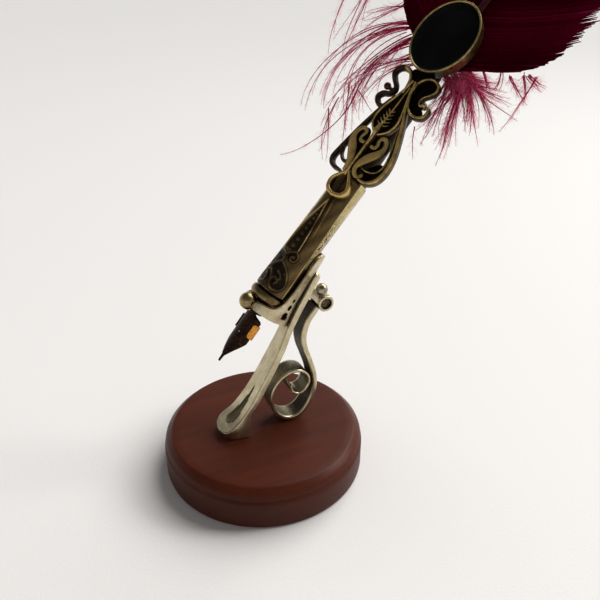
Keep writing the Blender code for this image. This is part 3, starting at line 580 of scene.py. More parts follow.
def slab(name, outline, low, high, mat, body="pen", crown=0.0, **more):
    """A plate with a rounded rim over a closed (s, v) outline; its top rises by crown in the middle."""
    edge = np.array(outline, float)
    centre = edge.mean(0)
    rings = []
    for scale, level in ((0.96, low), (1, low + 0.15), (1, high - 0.2), (0.975, high - 0.05), (0.93, high)):
        ring = centre + (edge - centre) * scale
        rings.append(columns([ring, np.full(len(ring), level)]))
    for scale in (0.7, 0.45, 0.2, 0.05):
        ring = centre + (edge - centre) * scale
        rings.append(columns([ring, np.full(len(ring), high + crown * (1 - scale * scale))]))
    verts, faces = loft(rings)
    return solid(name, pen(verts), faces, mat, body, **more)


def cut(obj, cutters):
    """Boolean difference with each cutter in turn; the cutters' materials stay on the cut faces."""
    for cutter in cutters:
        modifier = obj.modifiers.new("cut", "BOOLEAN")
        modifier.operation = "DIFFERENCE"
        modifier.solver = "EXACT"
        modifier.material_mode = "TRANSFER"
        modifier.object = cutter
    bpy.context.view_layer.update()
    done = obj.evaluated_get(bpy.context.evaluated_depsgraph_get())
    mesh = bpy.data.meshes.new_from_object(done)
    obj.modifiers.clear()
    obj.data = mesh
    for cutter in cutters:
        bpy.data.objects.remove(cutter, do_unlink=True)
    mesh.shade_smooth()
    mesh.set_sharp_from_angle(angle=math.radians(30))
    return obj


# ---------------------------------------------------------------- stand

base_profile = [(0.01, BASE_H), (12, BASE_H), (24, BASE_H), (34, BASE_H), (BASE_TOP_R - 0.3, BASE_H),
    (BASE_TOP_R + 0.1, BASE_H - 0.12), (BASE_TOP_R + 0.6, BASE_H - 0.5), (38.8, 16.3), (39.6, 15.6),
    (40.2, 14.8), (40.48, 14), (40.25, 13.3), (40.12, 12.8), (40.30, 12.3), (40.72, 11.9), (40.95, 11.3),
    (BASE_R, 10.6), (BASE_R, 8), (BASE_R, 5), (BASE_R, 1.6), (BASE_R - 0.25, 0.6), (BASE_R - 0.8, 0),
    (PAD_R + GAP, 0), (PAD_R + GAP, PAD_T + GAP), (0.01, PAD_T + GAP)]
turned("base_wood", base_profile, upright, WOOD, "stand", 192, lambda r, h: float(14.2 < h < 17.45),
    stands_for=["base_disc"], slot="wood")
turned("base_felt", [(0.01, PAD_T), (PAD_R - 0.3, PAD_T), (PAD_R, PAD_T - 0.3), (PAD_R, 0.3),
    (PAD_R - 0.3, 0.0), (0.01, 0.0)],
       upright, FELT, "stand", 96, stands_for=["felt_pad"], slot="felt")

# Bar: front line (x, z) with half width, then the thickness behind it
BAR_FOOT_Z = BASE_H + GAP
bar_line = [(22.9, 83.3, 2.2), (21.9, 82.4, 3.2), (20.6, 80.6, 3.5), (17.8, 75.7, 3.5), (14.3, 69.8, 3.5),
    (10.2, 62, 3.5), (7.4, 55.9, 4), (5.9, 52.9, 4.4), (1.2, 44.4, 4.8), (-3.4, 36.6, 5.1), (-6.1, 32.5, 5.5),
    (-9, 28.8, 5.8)]
foot_line = [(-11.5, 26.1, 6.1), (-14.5, 23.9, 6.5), (-16.1, 22.8, 6.5), (-17.3, 21.9, 6), (-18.5, 21.2, 4.8),
    (-19.2, 20.8, 3), (-19.5, 20.6, 1.4)]
foot_rear = [(-7.2, 21.8), (-8.4, BAR_FOOT_Z), (-12, BAR_FOOT_Z), (-15, BAR_FOOT_Z), (-17.2, BAR_FOOT_Z),
    (-18.3, BAR_FOOT_Z), (-18.8, BAR_FOOT_Z)]
sections = []
for i, (x, z, half) in enumerate(bar_line):
    before, after = bar_line[max(i - 1, 0)], bar_line[min(i + 1, len(bar_line) - 1)]
    run = Vector((after[0] - before[0], after[1] - before[1])).normalized()
    sections.append((x, z, x - run.y * BAR_T, z + run.x * BAR_T, half))
sections += [(x, z, rear[0], rear[1], half) for (x, z, half), rear in zip(foot_line, foot_rear)]
sections = spline(sections, 110)
rings = []
for x, z, rx, rz, half in sections:
    z, rz = max(z, BAR_FOOT_Z), max(rz, BAR_FOOT_Z)
    front, rear = np.array([x, z]), np.array([rx, rz])
    deep = np.linalg.norm(rear - front)
    e = min(0.22, half * 0.2)
    line = [(-half, e), (-half + e * 0.35, e * 0.3), (-half + e, 0), (-half + 2.4 * e, 0.0),
        (-half + 3.2 * e, e * 0.9), (-half + 4.0 * e, 0.0)]
    line += [(y, 0.0) for y in np.linspace(-half + 5.0 * e, half - 1.6 * e, 12)]
    line += [(half - e, 0), (half - e * 0.35, e * 0.3), (half, e), (half, deep * 0.5), (half, deep - e)]
    line += [(half - e, deep)] + [(y, deep) for y in np.linspace(half - 2 * e, -half + 2 * e,
        8)] + [(-half + e, deep), (-half, deep - e), (-half, deep * 0.5)]
    back = rear - front
    rings.append([(front[0] + back[0] * d / deep, y, front[1] + back[1] * d / deep) for y, d in line])
groove = {4: 0.0, 3: 0.55, 5: 0.55, 0: 0.9, 1: 1.0, 2: 1.0}
wear = np.tile([groove.get(k, 0.75) for k in range(len(rings[0]))], len(rings))
verts, faces = loft(rings)
bar = solid("bar_body", verts, faces, NICKEL, "stand", ["leg_bar"], "nickel", wear=wear, sharp=30)
front = sections[:, :2]
bar_arc = np.concatenate([[0], np.cumsum(np.linalg.norm(np.diff(front, axis=0), axis=1))])
drop_start = bar_arc[np.argmin(np.hypot(front[:, 0] + 4.4, front[:, 1] - 34.9))]
drop = [(-2.2, 0), (0.5, 0.45), (4, 0.95), (8, 1.6), (11, 2.15)]
for swing in np.linspace(-math.pi * 0.42, math.pi * 0.42, 21):
    drop.append((14.2 + 2.5 * math.cos(swing), -2.5 * math.sin(swing)))
drop += [(u, -y) for u, y in drop[4:0:-1]]
drop = closed_spline(drop, 89)
drop_rings = []
for scale, level in ((0.5, -0.55), (0.84, -0.5), (1, 0), (1.12, 0.8)):
    ring = np.array([11.5, 0.0]) + (drop - np.array([11.5, 0.0])) * scale
    at = columns([np.interp(drop_start + ring[:, 0], bar_arc, front[:, k]) for k in (0, 1)])
    ahead = unit(columns([np.interp(drop_start + ring[:, 0] + 0.5, bar_arc, front[:, k])
        for k in (0, 1)]) - at)
    drop_rings.append(columns([at[:, 0] + ahead[:, 1] * level, ring[:, 1], at[:, 1] - ahead[:, 0] * level]))
verts, faces = loft(drop_rings)
cut(bar, [solid("cut_recess", verts, faces, CAST, None)])

# Cradle: a sheet trough whose section changes along the pen's axis
# Holes drilled through both walls: s, height, radius, and radius of the dark disc behind, which is painted
# shade seen through the hole
HOLES = ((57, -8.5, 1.45, 2.1), (60.8, -8.3, 1, 1.5), (63.9, -8.1, 0.68, 1.1))
HOLE_STRETCH = 1.12
CRADLE_S = [53.2, 54.0, 55.0, 56.0, 56.7, 57.1, 57.5, 58.4, 60.0, 62.0, 64.5, 68.0, 72.0, 76.0, 79.5, 81.6,
    83.2, 84.4]
CRADLE_TOP = [4.9, 5.4, 5.6, 5.3, 4.2, 2.2, 0.2, -1.3, -2.5, -3.4, -4.0, -4.5, -4.5, -4.2, -3.9, -4.2, -5.2,
    -6.8]


def cradle_side(s, top):
    """Outer and inner (across, height) lines of one half of the trough's section."""
    low = np.interp(s, [53.2, 57.5, 62.0, 68.0, 76.0, 81.6, 84.4], [-13.4, -12.2, -11.1, -10.3, -9.5, -9.0,
        -8.4])
    rib = np.interp(s, [53.2, 57.5, 62.0, 68.0, 76.0, 84.4], [-14.1, -13.0, -11.95, -11.0, -9.6, -8.5])
    half = np.interp(s, [53.2, 60.0, 68.0, 79.5, 84.4], [7.4, 7.4, 6.9, 6.9, 6.3])
    wall = np.array([(3.5, low + 0.9), (half, -3.4), (half + 0.25, -1.2), (half - 0.2, 1.4),
        (half - 1.4, 3.7), (half - 3.3, 5.8)])
    at = np.interp(top, wall[:, 1], np.arange(len(wall)))
    steps = np.linspace(0, at, 16)
    line = columns([np.interp(steps, np.arange(len(wall)), wall[:, k]) for k in (0, 1)])
    tangent = unit(np.gradient(line, axis=0), 1e-9)
    inner = line + columns([-tangent[:, 1], tangent[:, 0]]) * SHEET_T
    outer = np.vstack([[(0, rib), (2, rib), (2.2, rib + 0.15), (2.25, low), (2.9, low + 0.1)], line])
    inner = np.vstack([[(0, low + SHEET_T), (1.2, low + SHEET_T), (1.5, low + SHEET_T), (1.8, low + SHEET_T),
        (2.3, low + 0.95)], inner])
    return outer, inner


stations = np.unique(np.concatenate([np.linspace(53.2, 59.0, 48), np.linspace(59.0, 84.4, 60)]))
tops = spline(columns([CRADLE_S, CRADLE_TOP]), 400)
tops = np.interp(stations, tops[:, 0], tops[:, 1])
rings = []
for s, top in zip(stations, tops):
    outer, inner = cradle_side(s, top)
    lip = (outer[-1] + inner[-1]) / 2 + np.array([0.0, 0.12])
    half_ring = np.vstack([outer, lip, inner[::-1]])
    ring = [(s, y, z) for y, z in half_ring]
    other = [(s, -y, z) for y, z in half_ring[::-1]]
    rings.append(ring[:-1] + other[:-1])
verts, faces = loft(rings)
heights = np.array(verts)[:, 2]
rim_height = np.repeat([cradle_side(s, t)[0][-1][1] for s, t in zip(stations, tops)], len(rings[0]))
# Per point: the walls bright, the strip along the bottom and the trough's inner faces darker; the band 0.4 to
# 1.1 mm under the rim is a painted shadow under the lip.
wear = np.where(np.abs(np.array(verts)[:, 1]) > 2.6, 0.86, 0.25)
inside = [0] * 22 + [1] * 40 + [0] * 21
wear = wear * (1 - 0.55 * np.tile(np.resize(inside, len(rings[0])), len(rings)))
wear = np.where((heights > rim_height - 1.1) & (heights < rim_height - 0.4), wear * 0.55, wear)
at_s, at_y = np.array(verts)[:, 0], np.abs(np.array(verts)[:, 1])
# Painted red reflection low on the front end of both walls.
warm = 0.62 * np.exp(-(((at_s - 55.6) / 1.7) ** 2) - ((heights + 7.0) / 2.6) ** 2) * (at_y > 2.6)
cradle = solid("cradle_sheet", cradle_space(verts), faces, NICKEL, "stand", ["cradle"], "nickel", wear=wear,
    sharp=32, warm=warm)
# The cutters leave the dark plate finish on the holes' walls: painted shade inside the holes.
holes = []
for k, (s, height, radius, _) in enumerate(HOLES):
    to_space = lambda p, s=s, h=height: cradle_space(columns([s + HOLE_STRETCH * p[:, 1], p[:, 0],
        h + p[:, 2]]))
    profile = [(0.01, -9.0), (radius, -9.0), (radius, 9.0), (0.01, 9.0)]
    holes.append(turned(f"cut_hole_{k}", profile, to_space, PLATE, None, 40))
cut(cradle, holes)
LIP_R = 0.36
lips = []
for sign in (-1, 1):
    line = []
    for s, top in zip(stations, tops):
        outer, inner = cradle_side(s, top)
        y, z = inner[-1] * 0.2 + outer[-1] * 0.8
        line.append((s, sign * (y + 0.05), z + 0.1))
    line = np.array(line)[2:-2]
    turns = circle(10)
    ahead = unit(np.gradient(line, axis=0))
    level = unit(np.cross(ahead, np.array([0.0, 1.0, 0.0])))
    across = np.cross(ahead, level)
    rings = []
    for k, p in enumerate(line):
        rings.append(p + LIP_R * (np.outer(np.cos(turns), level[k]) + np.outer(np.sin(turns), across[k])))
    verts, faces = loft(rings)
    lips.append(solid(f"cradle_lip_{'ab'[sign > 0]}", cradle_space(verts), faces, RING_METAL, "stand",
        slot="nickel"))
# Dark discs inside the trough behind each hole: painted shade seen through the holes.
WALL_UP = np.array([0.443, 0.897])
discs = []
for k, (s, height, _, radius) in enumerate(HOLES):
    outer = cradle_side(s, 0.0)[0]
    wall_y = float(np.interp(height, outer[5:, 1], outer[5:, 0]))
    for sign in (-1, 1):

        def to_space(p, s=s, y=wall_y, h=height, sign=sign):
            across = y + p[:, 0] * WALL_UP[1] + p[:, 2] * WALL_UP[0]
            up = h - p[:, 0] * WALL_UP[0] + p[:, 2] * WALL_UP[1]
            return cradle_space(columns([s + p[:, 1], sign * across, up]))

        profile = [(0.01, -1.5), (radius * 0.9, -1.5), (radius, -1.4), (radius, -1.0), (0.01, -1.0)]
        discs.append(turned(f"hole_back_{k}{sign > 0}", profile, to_space, PLATE, "stand", 28))
join("hole_backs", discs)

# Strap
strap_line = [(21.6, 67.4, 2.3), (18.6, 63.4, 2.4), (16.8, 57.4, 2.4), (17.2, 51.6, 2.4), (19.2, 45.4, 2.3),
    (21.2, 38.6, 2.2), (21.7, 32.4, 2.1), (20.2, 26.2, 2), (16.6, 20.8, 1.9), (12.2, 18.8, 1.9),
    (7.6, 20.2, 1.8), (4, 24.2, 1.7), (2.6, 30, 1.6), (3.8, 35.4, 1.6), (7, 39.6, 1.5), (11.4, 41.6, 1.5),
    (15.6, 41, 1.4), (18.6, 38, 1.3), (19, 34.4, 1.2), (17.2, 31.3, 1.2), (14.2, 30.4, 1.1),
    (11.6, 32.2, 1.1), (10.8, 35.4, 1.1)]
path = spline([(22.6, 68.7, 1.9)] + strap_line, 260)
tangent = unit(np.gradient(path[:, :2], axis=0))
normal = columns([-tangent[:, 1], tangent[:, 0]])
half_w = STRAP_W / 2
strap_edge = [(0.0, 0.2), (0.12, 0.40), (0.45, 0.5), (1.2, 0.47)]
strap_top = [(i - half_w, d) for i, d in strap_edge] + [(0.0, 0.44)] + [(half_w - i, d)
    for i, d in strap_edge[::-1]]
lines = [(-half_w, -0.2)] + strap_top + [(y, -d) for y, d in strap_top[:0:-1]]
rings = []
wear = []
for k, ((x, z, thick), (nx, nz)) in enumerate(zip(path, normal)):
    rings.append([(x + nx * d * thick, y, z + nz * d * thick) for y, d in lines])
    for y, d in lines:
        # Per point: edges rubbed bright; the faces dark, tarnish and painted shade, lightened in slow waves
        # along the strap as painted highlight streaks, and lighter towards the coil's end.
        face = 0.13 + 0.08 * math.sin(k * 0.11) ** 2 + 0.15 * float(smoothstep(100, 150, k))
        edge = 1.0 if abs(abs(y) - half_w) < 0.2 else (0.62 if abs(abs(y) - half_w) < 0.5 else face)
        wear.append(edge)
verts, faces = loft(rings)
solid("strap_body", verts, faces, NICKEL, "stand", ["scroll_strap"], "nickel", wear=wear, sharp=50)
tube_profile = rounded([(2.1, -4.2), (3.3, -4.2), (3.3, 4.2), (2.1, 4.2), (2.1, 4.1)], 0.35)
turned("tube_body", tube_profile, crosswise(26.2, 69.6), NICKEL, "stand", 64,
    lambda r, h: 0.95 if r > 2.3 else 0.1, stands_for=["scroll_tube"], slot="nickel")
turned("tube_plug", [(0.01, -3.2), (2.08, -3.2), (2.08, 3.2), (0.01, 3.2)], crosswise(26.2, 69.6), CAST,
    "stand", 40, slot="nickel")
sphere("bead_body", 2.4, (24.6, -3.0, 75.9), polished("bead_nickel", (0.46, 0.40, 0.27), 0.2), "stand",
    stands_for=["scroll_bead"], slot="nickel")
turned("bead_stalk", [(0.01, 70), (1.3, 70), (1.1, 74.4), (0.01, 74.4)], lambda p: upright(p)
    + np.array([24.9, -2.6, 0]), CAST, "stand", 24, slot="nickel")
for name, x, top in (("leg_screw", -11.5, 21.4), ("scroll_screw", 12.2, 19.6)):
    profile = rounded([(0.01, 1.9), (3.6, 1.9), (3.6, 3.9), (1.5, 6), (1.5, top - 0.3), (0.9, top),
        (0.01, top)], 0.2, 3)
    turned(name + "_body", profile, lambda p, x=x: upright(p) + np.array([x, 0, 0]), STEEL, "stand", 32,
        stands_for=[name], slot="steel")

# ---------------------------------------------------------------- grip with its relief

# The relief is drawn on a flat sheet over the face, at n = SHEET_N. A point of the grip takes what the sheet
# shows LOOK_V further across for each millimetre between them.
LOOK_V = 0.688
SHEET_N = 5.0
scrolls = {
    "big": [(74.2, 0.8), (72.6, -2.5), (70.4, -5.4), (67.2, -7), (64.4, -5.8), (63.2, -3), (64.2, -0.4),
        (66.4, 0.3), (67.6, -1.3), (66.8, -2.9), (65.6, -2.3)],
    "inner": [(70, -0.4), (69.4, -2.2), (68.2, -3.2), (67.4, -2.6)],
    "small": [(74.2, 0.8), (71.6, 3), (68.8, 4.7), (65.4, 5.4), (63.4, 4.6), (64, 2.7), (66.4, 2.8),
        (68.4, 3.7), (69.2, 2.4), (68.2, 1.5)],
    "cross": [(72.6, 2.2), (74.6, 0.8), (76.8, 1.3), (77.8, 3.2), (76.8, 4.6), (75.4, 4.2)],
    "spiral": [(74.6, 0.6), (76.8, 1.3), (78.6, -0.2), (79.6, -2.6), (78, -4.4), (76, -3.6), (76, -1.7),
        (77.4, -1.6), (77.4, -2.8)],
    "right": [(79.6, -2.6), (85, -2.1), (91, -1.2), (97, -0.3), (101.8, 0.4)],
    "left": [(77.8, 3.2), (80, 3.6), (85, 3.6), (91, 3), (97, 1.6), (101.8, 0.4)],
}
beads = [(81.0 + 2.9 * k - 0.09 * k * k, 0.8, 1.0 - 0.075 * k) for k in range(8)]


def relief(s, v):
    """Height of the relief in millimetres and how rubbed it is, at sheet positions."""
    ridge = np.zeros(len(s))
    near = np.full(len(s), 99.0)
    for name, points in scrolls.items():
        curve = spline(points, 90)
        width = 0.30 if name in ("right", "left") else 0.38
        for part in range(0, len(s), 6000):
            cs, cv = s[part : part + 6000], v[part : part + 6000]
            d = np.sqrt(((cs[:, None] - curve[:, 0]) ** 2 + (cv[:, None] - curve[:, 1]) ** 2).min(1))
            ridge[part : part + 6000] = np.maximum(ridge[part : part + 6000], np.exp(-((d / width) ** 2)))
            if name not in ("right", "left"):
                near[part : part + 6000] = np.minimum(near[part : part + 6000], d)
    middle = np.interp(s, [79.4, 101.8], [0.5, 0.4])
    half = np.interp(s, [79.4, 91.0, 101.8], [3.1, 2.1, 0.0])
    panel = smoothstep(0.0, 0.5, half - np.abs(v - middle)) * smoothstep(79.0, 79.8, s) * (s < 101.8)
    hollow = np.zeros(len(s))
    for hs, hv, r in ((67, -3.4, 3.3), (66.2, 3.3, 2), (70.6, -0.2, 3), (77.5, -2.2, 2.2), (73.6, 3.2, 2.2),
        (76.6, 3.4, 1.2)):
        hollow = np.maximum(hollow, 1 - smoothstep(r - 0.2, r + 0.4, np.hypot(s - hs, v - hv)))
    hollow = np.maximum(hollow * (1 - smoothstep(2.2, 3.0, near)), 0.8 * (1 - smoothstep(0.55, 0.85, near)))
    bed = np.maximum(hollow, 0.75 * panel)
    bead = np.zeros(len(s))
    for bs, bv, r in beads:
        d = np.hypot(s - bs, v - bv)
        bead = np.maximum(bead, np.sqrt(np.clip(1 - (d / (r * 0.85)) ** 2, 0, 1)))
    height = -0.42 * bed + 0.62 * ridge + 0.42 * bead
    rubbed_and_lit = 0.52 - 0.44 * bed + 0.50 * ridge + 0.34 * bead
    return height, rubbed_and_lit


GRIP_STATIONS = [(61.5, 5.2), (61.8, 6.2), (62, 6.5), (62.4, 6.7), (64.5, 6.75), (70, 6.6), (78, 6.4),
    (90, 6.25), (102, 6.15), (112.2, 6.1), (112.8, 5.8)]
grip_s = np.concatenate([[61.52, 61.65, 61.8, 61.95, 62.2], np.arange(62.4, 112.3, 0.17), [112.5, 112.8]])
GRIP_TURNS = 288
grip_turns = circle(GRIP_TURNS)
S, T = np.meshgrid(grip_s, grip_turns, indexing="ij")
R = np.interp(S, *np.array(GRIP_STATIONS).T)
off = np.cos(T - math.radians(200))
flat_r = 0.955 * R / np.maximum(off, 0.5)
R = np.where((off > 0.5) & (flat_r < R), flat_r, R)
crease = np.radians(np.interp(S, [62.0, 75.0, 84.0, 99.0, 113.0], [174.0, 170.0, 165.0, 158.0, 155.0]))
facet = smoothstep(-0.02, 0.03, T - crease) * (1 - smoothstep(4.05, 4.25, T)) * smoothstep(75, 79, S)
R = R + 0.10 * np.exp(-(((T - crease) / 0.05) ** 2)) - 0.16 * np.exp(-(((T - crease - 0.16) / 0.14) ** 2))
V, N = R * np.cos(T), R * np.sin(T)
front = N - LOOK_V * V
side = np.where(front > 0, 1.0, -1.0)
drawn_v = side * V + LOOK_V * (side * N - SHEET_N)
shift_s = np.interp(S, [60.0, 120.0], [-0.168, 0.137]) * (side * N - SHEET_N)
height, rubbed_and_lit = relief((S + shift_s).ravel(), drawn_v.ravel())
fade = smoothstep(0.05, 0.4, np.abs(front.ravel()) / (R.ravel() * 1.21)) * smoothstep(61.9, 62.6, S.ravel())
R = R + (height * fade).reshape(R.shape) * 0.75
rubbed_and_lit = 0.52 + (rubbed_and_lit - 0.52) * fade
flat_s, flat_v = (S + shift_s).ravel(), drawn_v.ravel()
line_v = np.interp(flat_s, [79.6, 91.0, 101.8, 112.0], [-2.6, -1.2, 0.4, 0.6])
beside = flat_v - line_v
past = smoothstep(79.0, 81.0, flat_s)
# Painted shade: a dark band just beside the panel's line, where no groove is modelled.
rubbed_and_lit = rubbed_and_lit - 0.30 * past * np.exp(-(((beside + 0.75) / 0.45) ** 2))
# Painted highlight: a thin glint streak 2.3 mm further across, from s 84 to 106.
glint = smoothstep(84.0, 93.0, flat_s) * (1 - smoothstep(100.0, 106.0, flat_s))
rubbed_and_lit = rubbed_and_lit + 0.30 * glint * np.exp(-(((beside + 2.3) / 0.22) ** 2))
rubbed_and_lit = rubbed_and_lit + 0.07 * np.sin(flat_s * 0.55 + flat_v)
# Painted highlight along the grip's left edge.
rubbed_and_lit = rubbed_and_lit + 0.36 * np.exp(-(((T.ravel() - 0.86) / 0.17) ** 2)) * smoothstep(79.0, 84.0, flat_s)
# A bright line along the crease ahead of s 76 to 82; behind the crease there, painted shadow where the grip's
# underside dips into the cradle.
rubbed_and_lit = rubbed_and_lit + 0.45 * (np.exp(-(((T - crease) / 0.035) ** 2)) * (1 - smoothstep(76.0, 82.0, S))).ravel()
rubbed_and_lit = rubbed_and_lit - 0.30 * (smoothstep(0.0, 0.12, T - crease) * (T < 4.3) * (1 - smoothstep(74.0, 80.0,
    S))).ravel()
# Darker at the very front, against the ring.
rubbed_and_lit = rubbed_and_lit * (0.15 + 0.85 * smoothstep(61.7, 62.3, S.ravel()))
# A darker patch near s 105.5, beside the teardrop collar.
rubbed_and_lit = rubbed_and_lit - 0.35 * np.exp(-(((flat_s - 105.5) / 2.2) ** 2) - ((flat_v + 3.0) / 3.5) ** 2)
notch = (np.abs(S - 112.0) < 0.35) & (np.abs(T - math.radians(196)) < 0.07)
notch = notch | ((np.abs(S - 112.1) < 0.3) & (np.abs(T - math.radians(218)) < 0.06))
R = R - 0.5 * notch
rubbed_and_lit = rubbed_and_lit * (1 - 0.9 * notch.ravel())
shell = np.stack([S, R * np.cos(T), R * np.sin(T)], -1)
bore = [columns([np.full(GRIP_TURNS, s), GRIP_BORE_R * np.cos(grip_turns), GRIP_BORE_R * np.sin(grip_turns)])
    for s in (112.8, 87.0, 61.52)]
verts, faces = loft(list(shell) + bore, closed=True)
extra = np.zeros(len(bore) * GRIP_TURNS)
solid("grip_body", pen(verts), faces, RELIEF, "pen", ["grip_shell"], "bronze",
    wear=np.concatenate([rubbed_and_lit, extra + 0.2]),
                      facet=np.concatenate([facet.ravel() * (1 - notch.ravel()), extra]),
                      pitted=np.concatenate([0.25 + 0.9 * np.exp(-(((S - 89.0) / 7.0) ** 2)).ravel(), extra]),
                          sharp=60)

ring_profile = [(GRIP_BORE_R, RING[0]), (5.9, RING[0])]
for turn in np.linspace(0.15, math.pi - 0.5, 16):
    ring_profile.append((RING_R - 1.0 + math.sin(turn),
        (RING[0] + RING[1]) / 2 - (RING[1] - RING[0]) / 2 * math.cos(turn)))
ring_profile += [(6.15, RING[1] - 0.14), (5.7, RING[1] - 0.08), (GRIP_BORE_R, RING[1] - 0.08)]
ring_stain = np.repeat([float(h > RING[1] - 0.42) for _, h in ring_profile], 96)
turned("ring_body", ring_profile, pen, RING_METAL, "pen", 96, stands_for=["front_ring"], slot="bronze",
    stain=ring_stain)
socket = rounded([(2.45, 51.7), (2.85, 51.9), (2.85, 57.6), (3.65, 57.9), (3.65, 74), (2.45, 74), (2.45, 73)],
    0.15, 3)
turned("socket_body", socket, pen, PLATE, "pen", 64, stands_for=["nib_socket"], slot="dark_metal")
BALL_N = 5.9
ball_at = pen([[54.3, BALL_N * math.sin(PEN_ROLL) - 0.3, BALL_N * math.cos(PEN_ROLL)]])[0]
sphere("ball_body", 3.35, ball_at, BALL_METAL, "pen", stands_for=["neck_ball"], slot="bronze")

# The core is kept dark all over: patina, and painted shade beneath the filigree.
core = [(0.01, CORE[0]), (5.3, CORE[0]), (5.4, 113.4), (5.2, 116), (4.8, 120), (4.4, 128), (4.15, 140),
    (3.8, 152), (3.6, 159.8), (3.4, CORE[1]), (0.01, CORE[1])]
turned("core_body", core, pen, RELIEF, "pen", 72, lambda r, h: 0.2, stands_for=["core_tube"], slot="bronze")
ferrule = [(0.01, FERRULE[0]), (3.3, FERRULE[0]), (3.5, 160.6), (3.4, 170), (2.95, 181.6), (2.8, FERRULE[1]),
    (2, FERRULE[1]), (2, 164), (0.01, 164)]
turned("ferrule_body", ferrule, pen, RELIEF, "pen", 64, lambda r, h: 0.45, stands_for=["feather_ferrule"],
    slot="bronze")

# ---------------------------------------------------------------- filigree

# Collar: a thick drop-shaped wall round a dark bowl
tear = [(104.2, 0, 0.95), (105, 2.7, 0.95), (107, 4.3, 0.85), (109.2, 4.3, 0.75), (111.6, 2.6, 0.65),
    (113.2, 1, 0.6), (114.6, 0.3, 0.6), (113.2, -1, 0.6), (111.6, -2.3, 0.7), (109.2, -3.9, 0.85),
    (107, -4.3, 1), (105, -2.9, 1), (104.2, 0, 0.95)]
# The drop's rim is painted a little lighter, and its -v flanks strongly lightened: painted light.
rim = rail("tear_rim", [(s, v, 6.3 - 0.02 * v * v, half) for s, v, half in tear], 150, 2.4, 0.8, 1.1, 0.9)
floor_outline = [(s, v) for s, v in spline([(104.6, 0), (105.6, 2.8), (108, 4), (110.4, 3), (113, 0.9),
    (113, -0.6), (110.4, -2.8), (108, -3.8), (105.6, -2.8), (104.6, 0)], 50)][:-1]
plate = slab("tear_floor", floor_outline, 4.9, 5.5, PLATE)
join("teardrop_body", [rim, plate], ["teardrop_collar"])

stem = [(112.6, 0.2, 6.4, 0.5), (114.4, 0.3, 6.7, 0.62), (118, 0.3, 6.8, 0.62), (124, 0.3, 6.9, 0.64),
    (129, 0.35, 6.9, 0.8), (131.4, 0.4, 6.9, 1.25), (134.4, 0.4, 6.7, 0.6)]
join("stem_body", [rail("stem_rail", stem, 90, 2.2)], ["stem_rib"])

curl = [(126.3, 7.2, 6.5, 1.1), (128.7, 6.7, 6.5, 0.85), (130, 5, 6.5, 0.7), (128.9, 3.5, 6.5, 0.62),
    (126.9, 4.1, 6.5, 0.58), (125.3, 3.4, 6.5, 0.58), (125.6, 2, 6.5, 0.7)]
leaf = [(113.6, 2, 6.3, 0.6), (116.4, 2, 6.5, 1), (119, 2.8, 6.5, 1.5), (121.6, 4.4, 6.4, 1.8),
    (124, 6.3, 6.4, 1.55)] + curl
right_leaf = [(s, 0.3 - v * 1.03, n, half) for s, v, n, half in leaf[1:]]
right_leaf = [(115.4, -5.6, 5.8, 0.6), (114, -4.6, 6, 0.65), (114.3, -2.9, 6.3, 0.75)] + right_leaf
for side_name, points, sign in (("left", leaf, 1), ("right", right_leaf, -1)):
    blade = wire(f"blade_{side_name}", points, flat=0.42, count=130, sides=18)
    edge = spline([(s, v, n + half * 0.25, half) for s, v, n, half in points], 130)
    across = unit(np.gradient(edge[:, :2], axis=0))
    rims = []
    for k, lean_to in enumerate((1, -1)):
        line = [(p[0] - a[1] * p[3] * 0.86 * lean_to, p[1] + a[0] * p[3] * 0.86 * lean_to, p[2] - 0.12, 0.24)
            for p, a in zip(edge[::6], across[::6])]
        rims.append(wire(f"blade_rim_{side_name}{k}", line, count=120, sides=8))
    bed = [(118.5, 1), (121.5, 1.3), (124.5, 2.4), (127.5, 2.4), (130.4, 3.4), (130.9, 5.4), (129.2, 7.3),
        (126.5, 7.9), (123.6, 6.6), (121, 4.2), (118.6, 2.8)]
    bed = [(s, v * sign * (1.0 if sign > 0 else 1.03) + (0 if sign > 0 else 0.3)) for s, v in bed]
    beds = [slab(f"bed_{side_name}", closed_spline(bed, 59), 4.6, 5.5, PLATE)]
    join(f"leaf_{side_name}_body", [blade] + rims + beds, [f"leaf_{side_name}"])

loop_left = [(112.4, 3.2, 5.6, 0.5), (112.8, 5.4, 5.2, 0.75), (112.8, 7.4, 4.8, 0.9), (113.6, 9.9, 4.3, 1),
    (115.6, 11.3, 4, 1.05), (118.6, 11.2, 3.9, 1), (123.2, 10.4, 4, 0.95), (128.2, 9.3, 4.3, 0.9),
    (133.2, 7.7, 4.9, 0.85), (137.4, 6.4, 5.4, 0.75), (141.5, 5, 5.8, 0.6), (145, 3.4, 6, 0.5)]
spur = [(120.6, 10, 4.2, 0.75), (118.4, 9, 4.2, 0.65), (117, 7.4, 4.4, 0.65), (116.5, 5.8, 4.6, 0.7),
    (117, 4, 5, 0.75)]
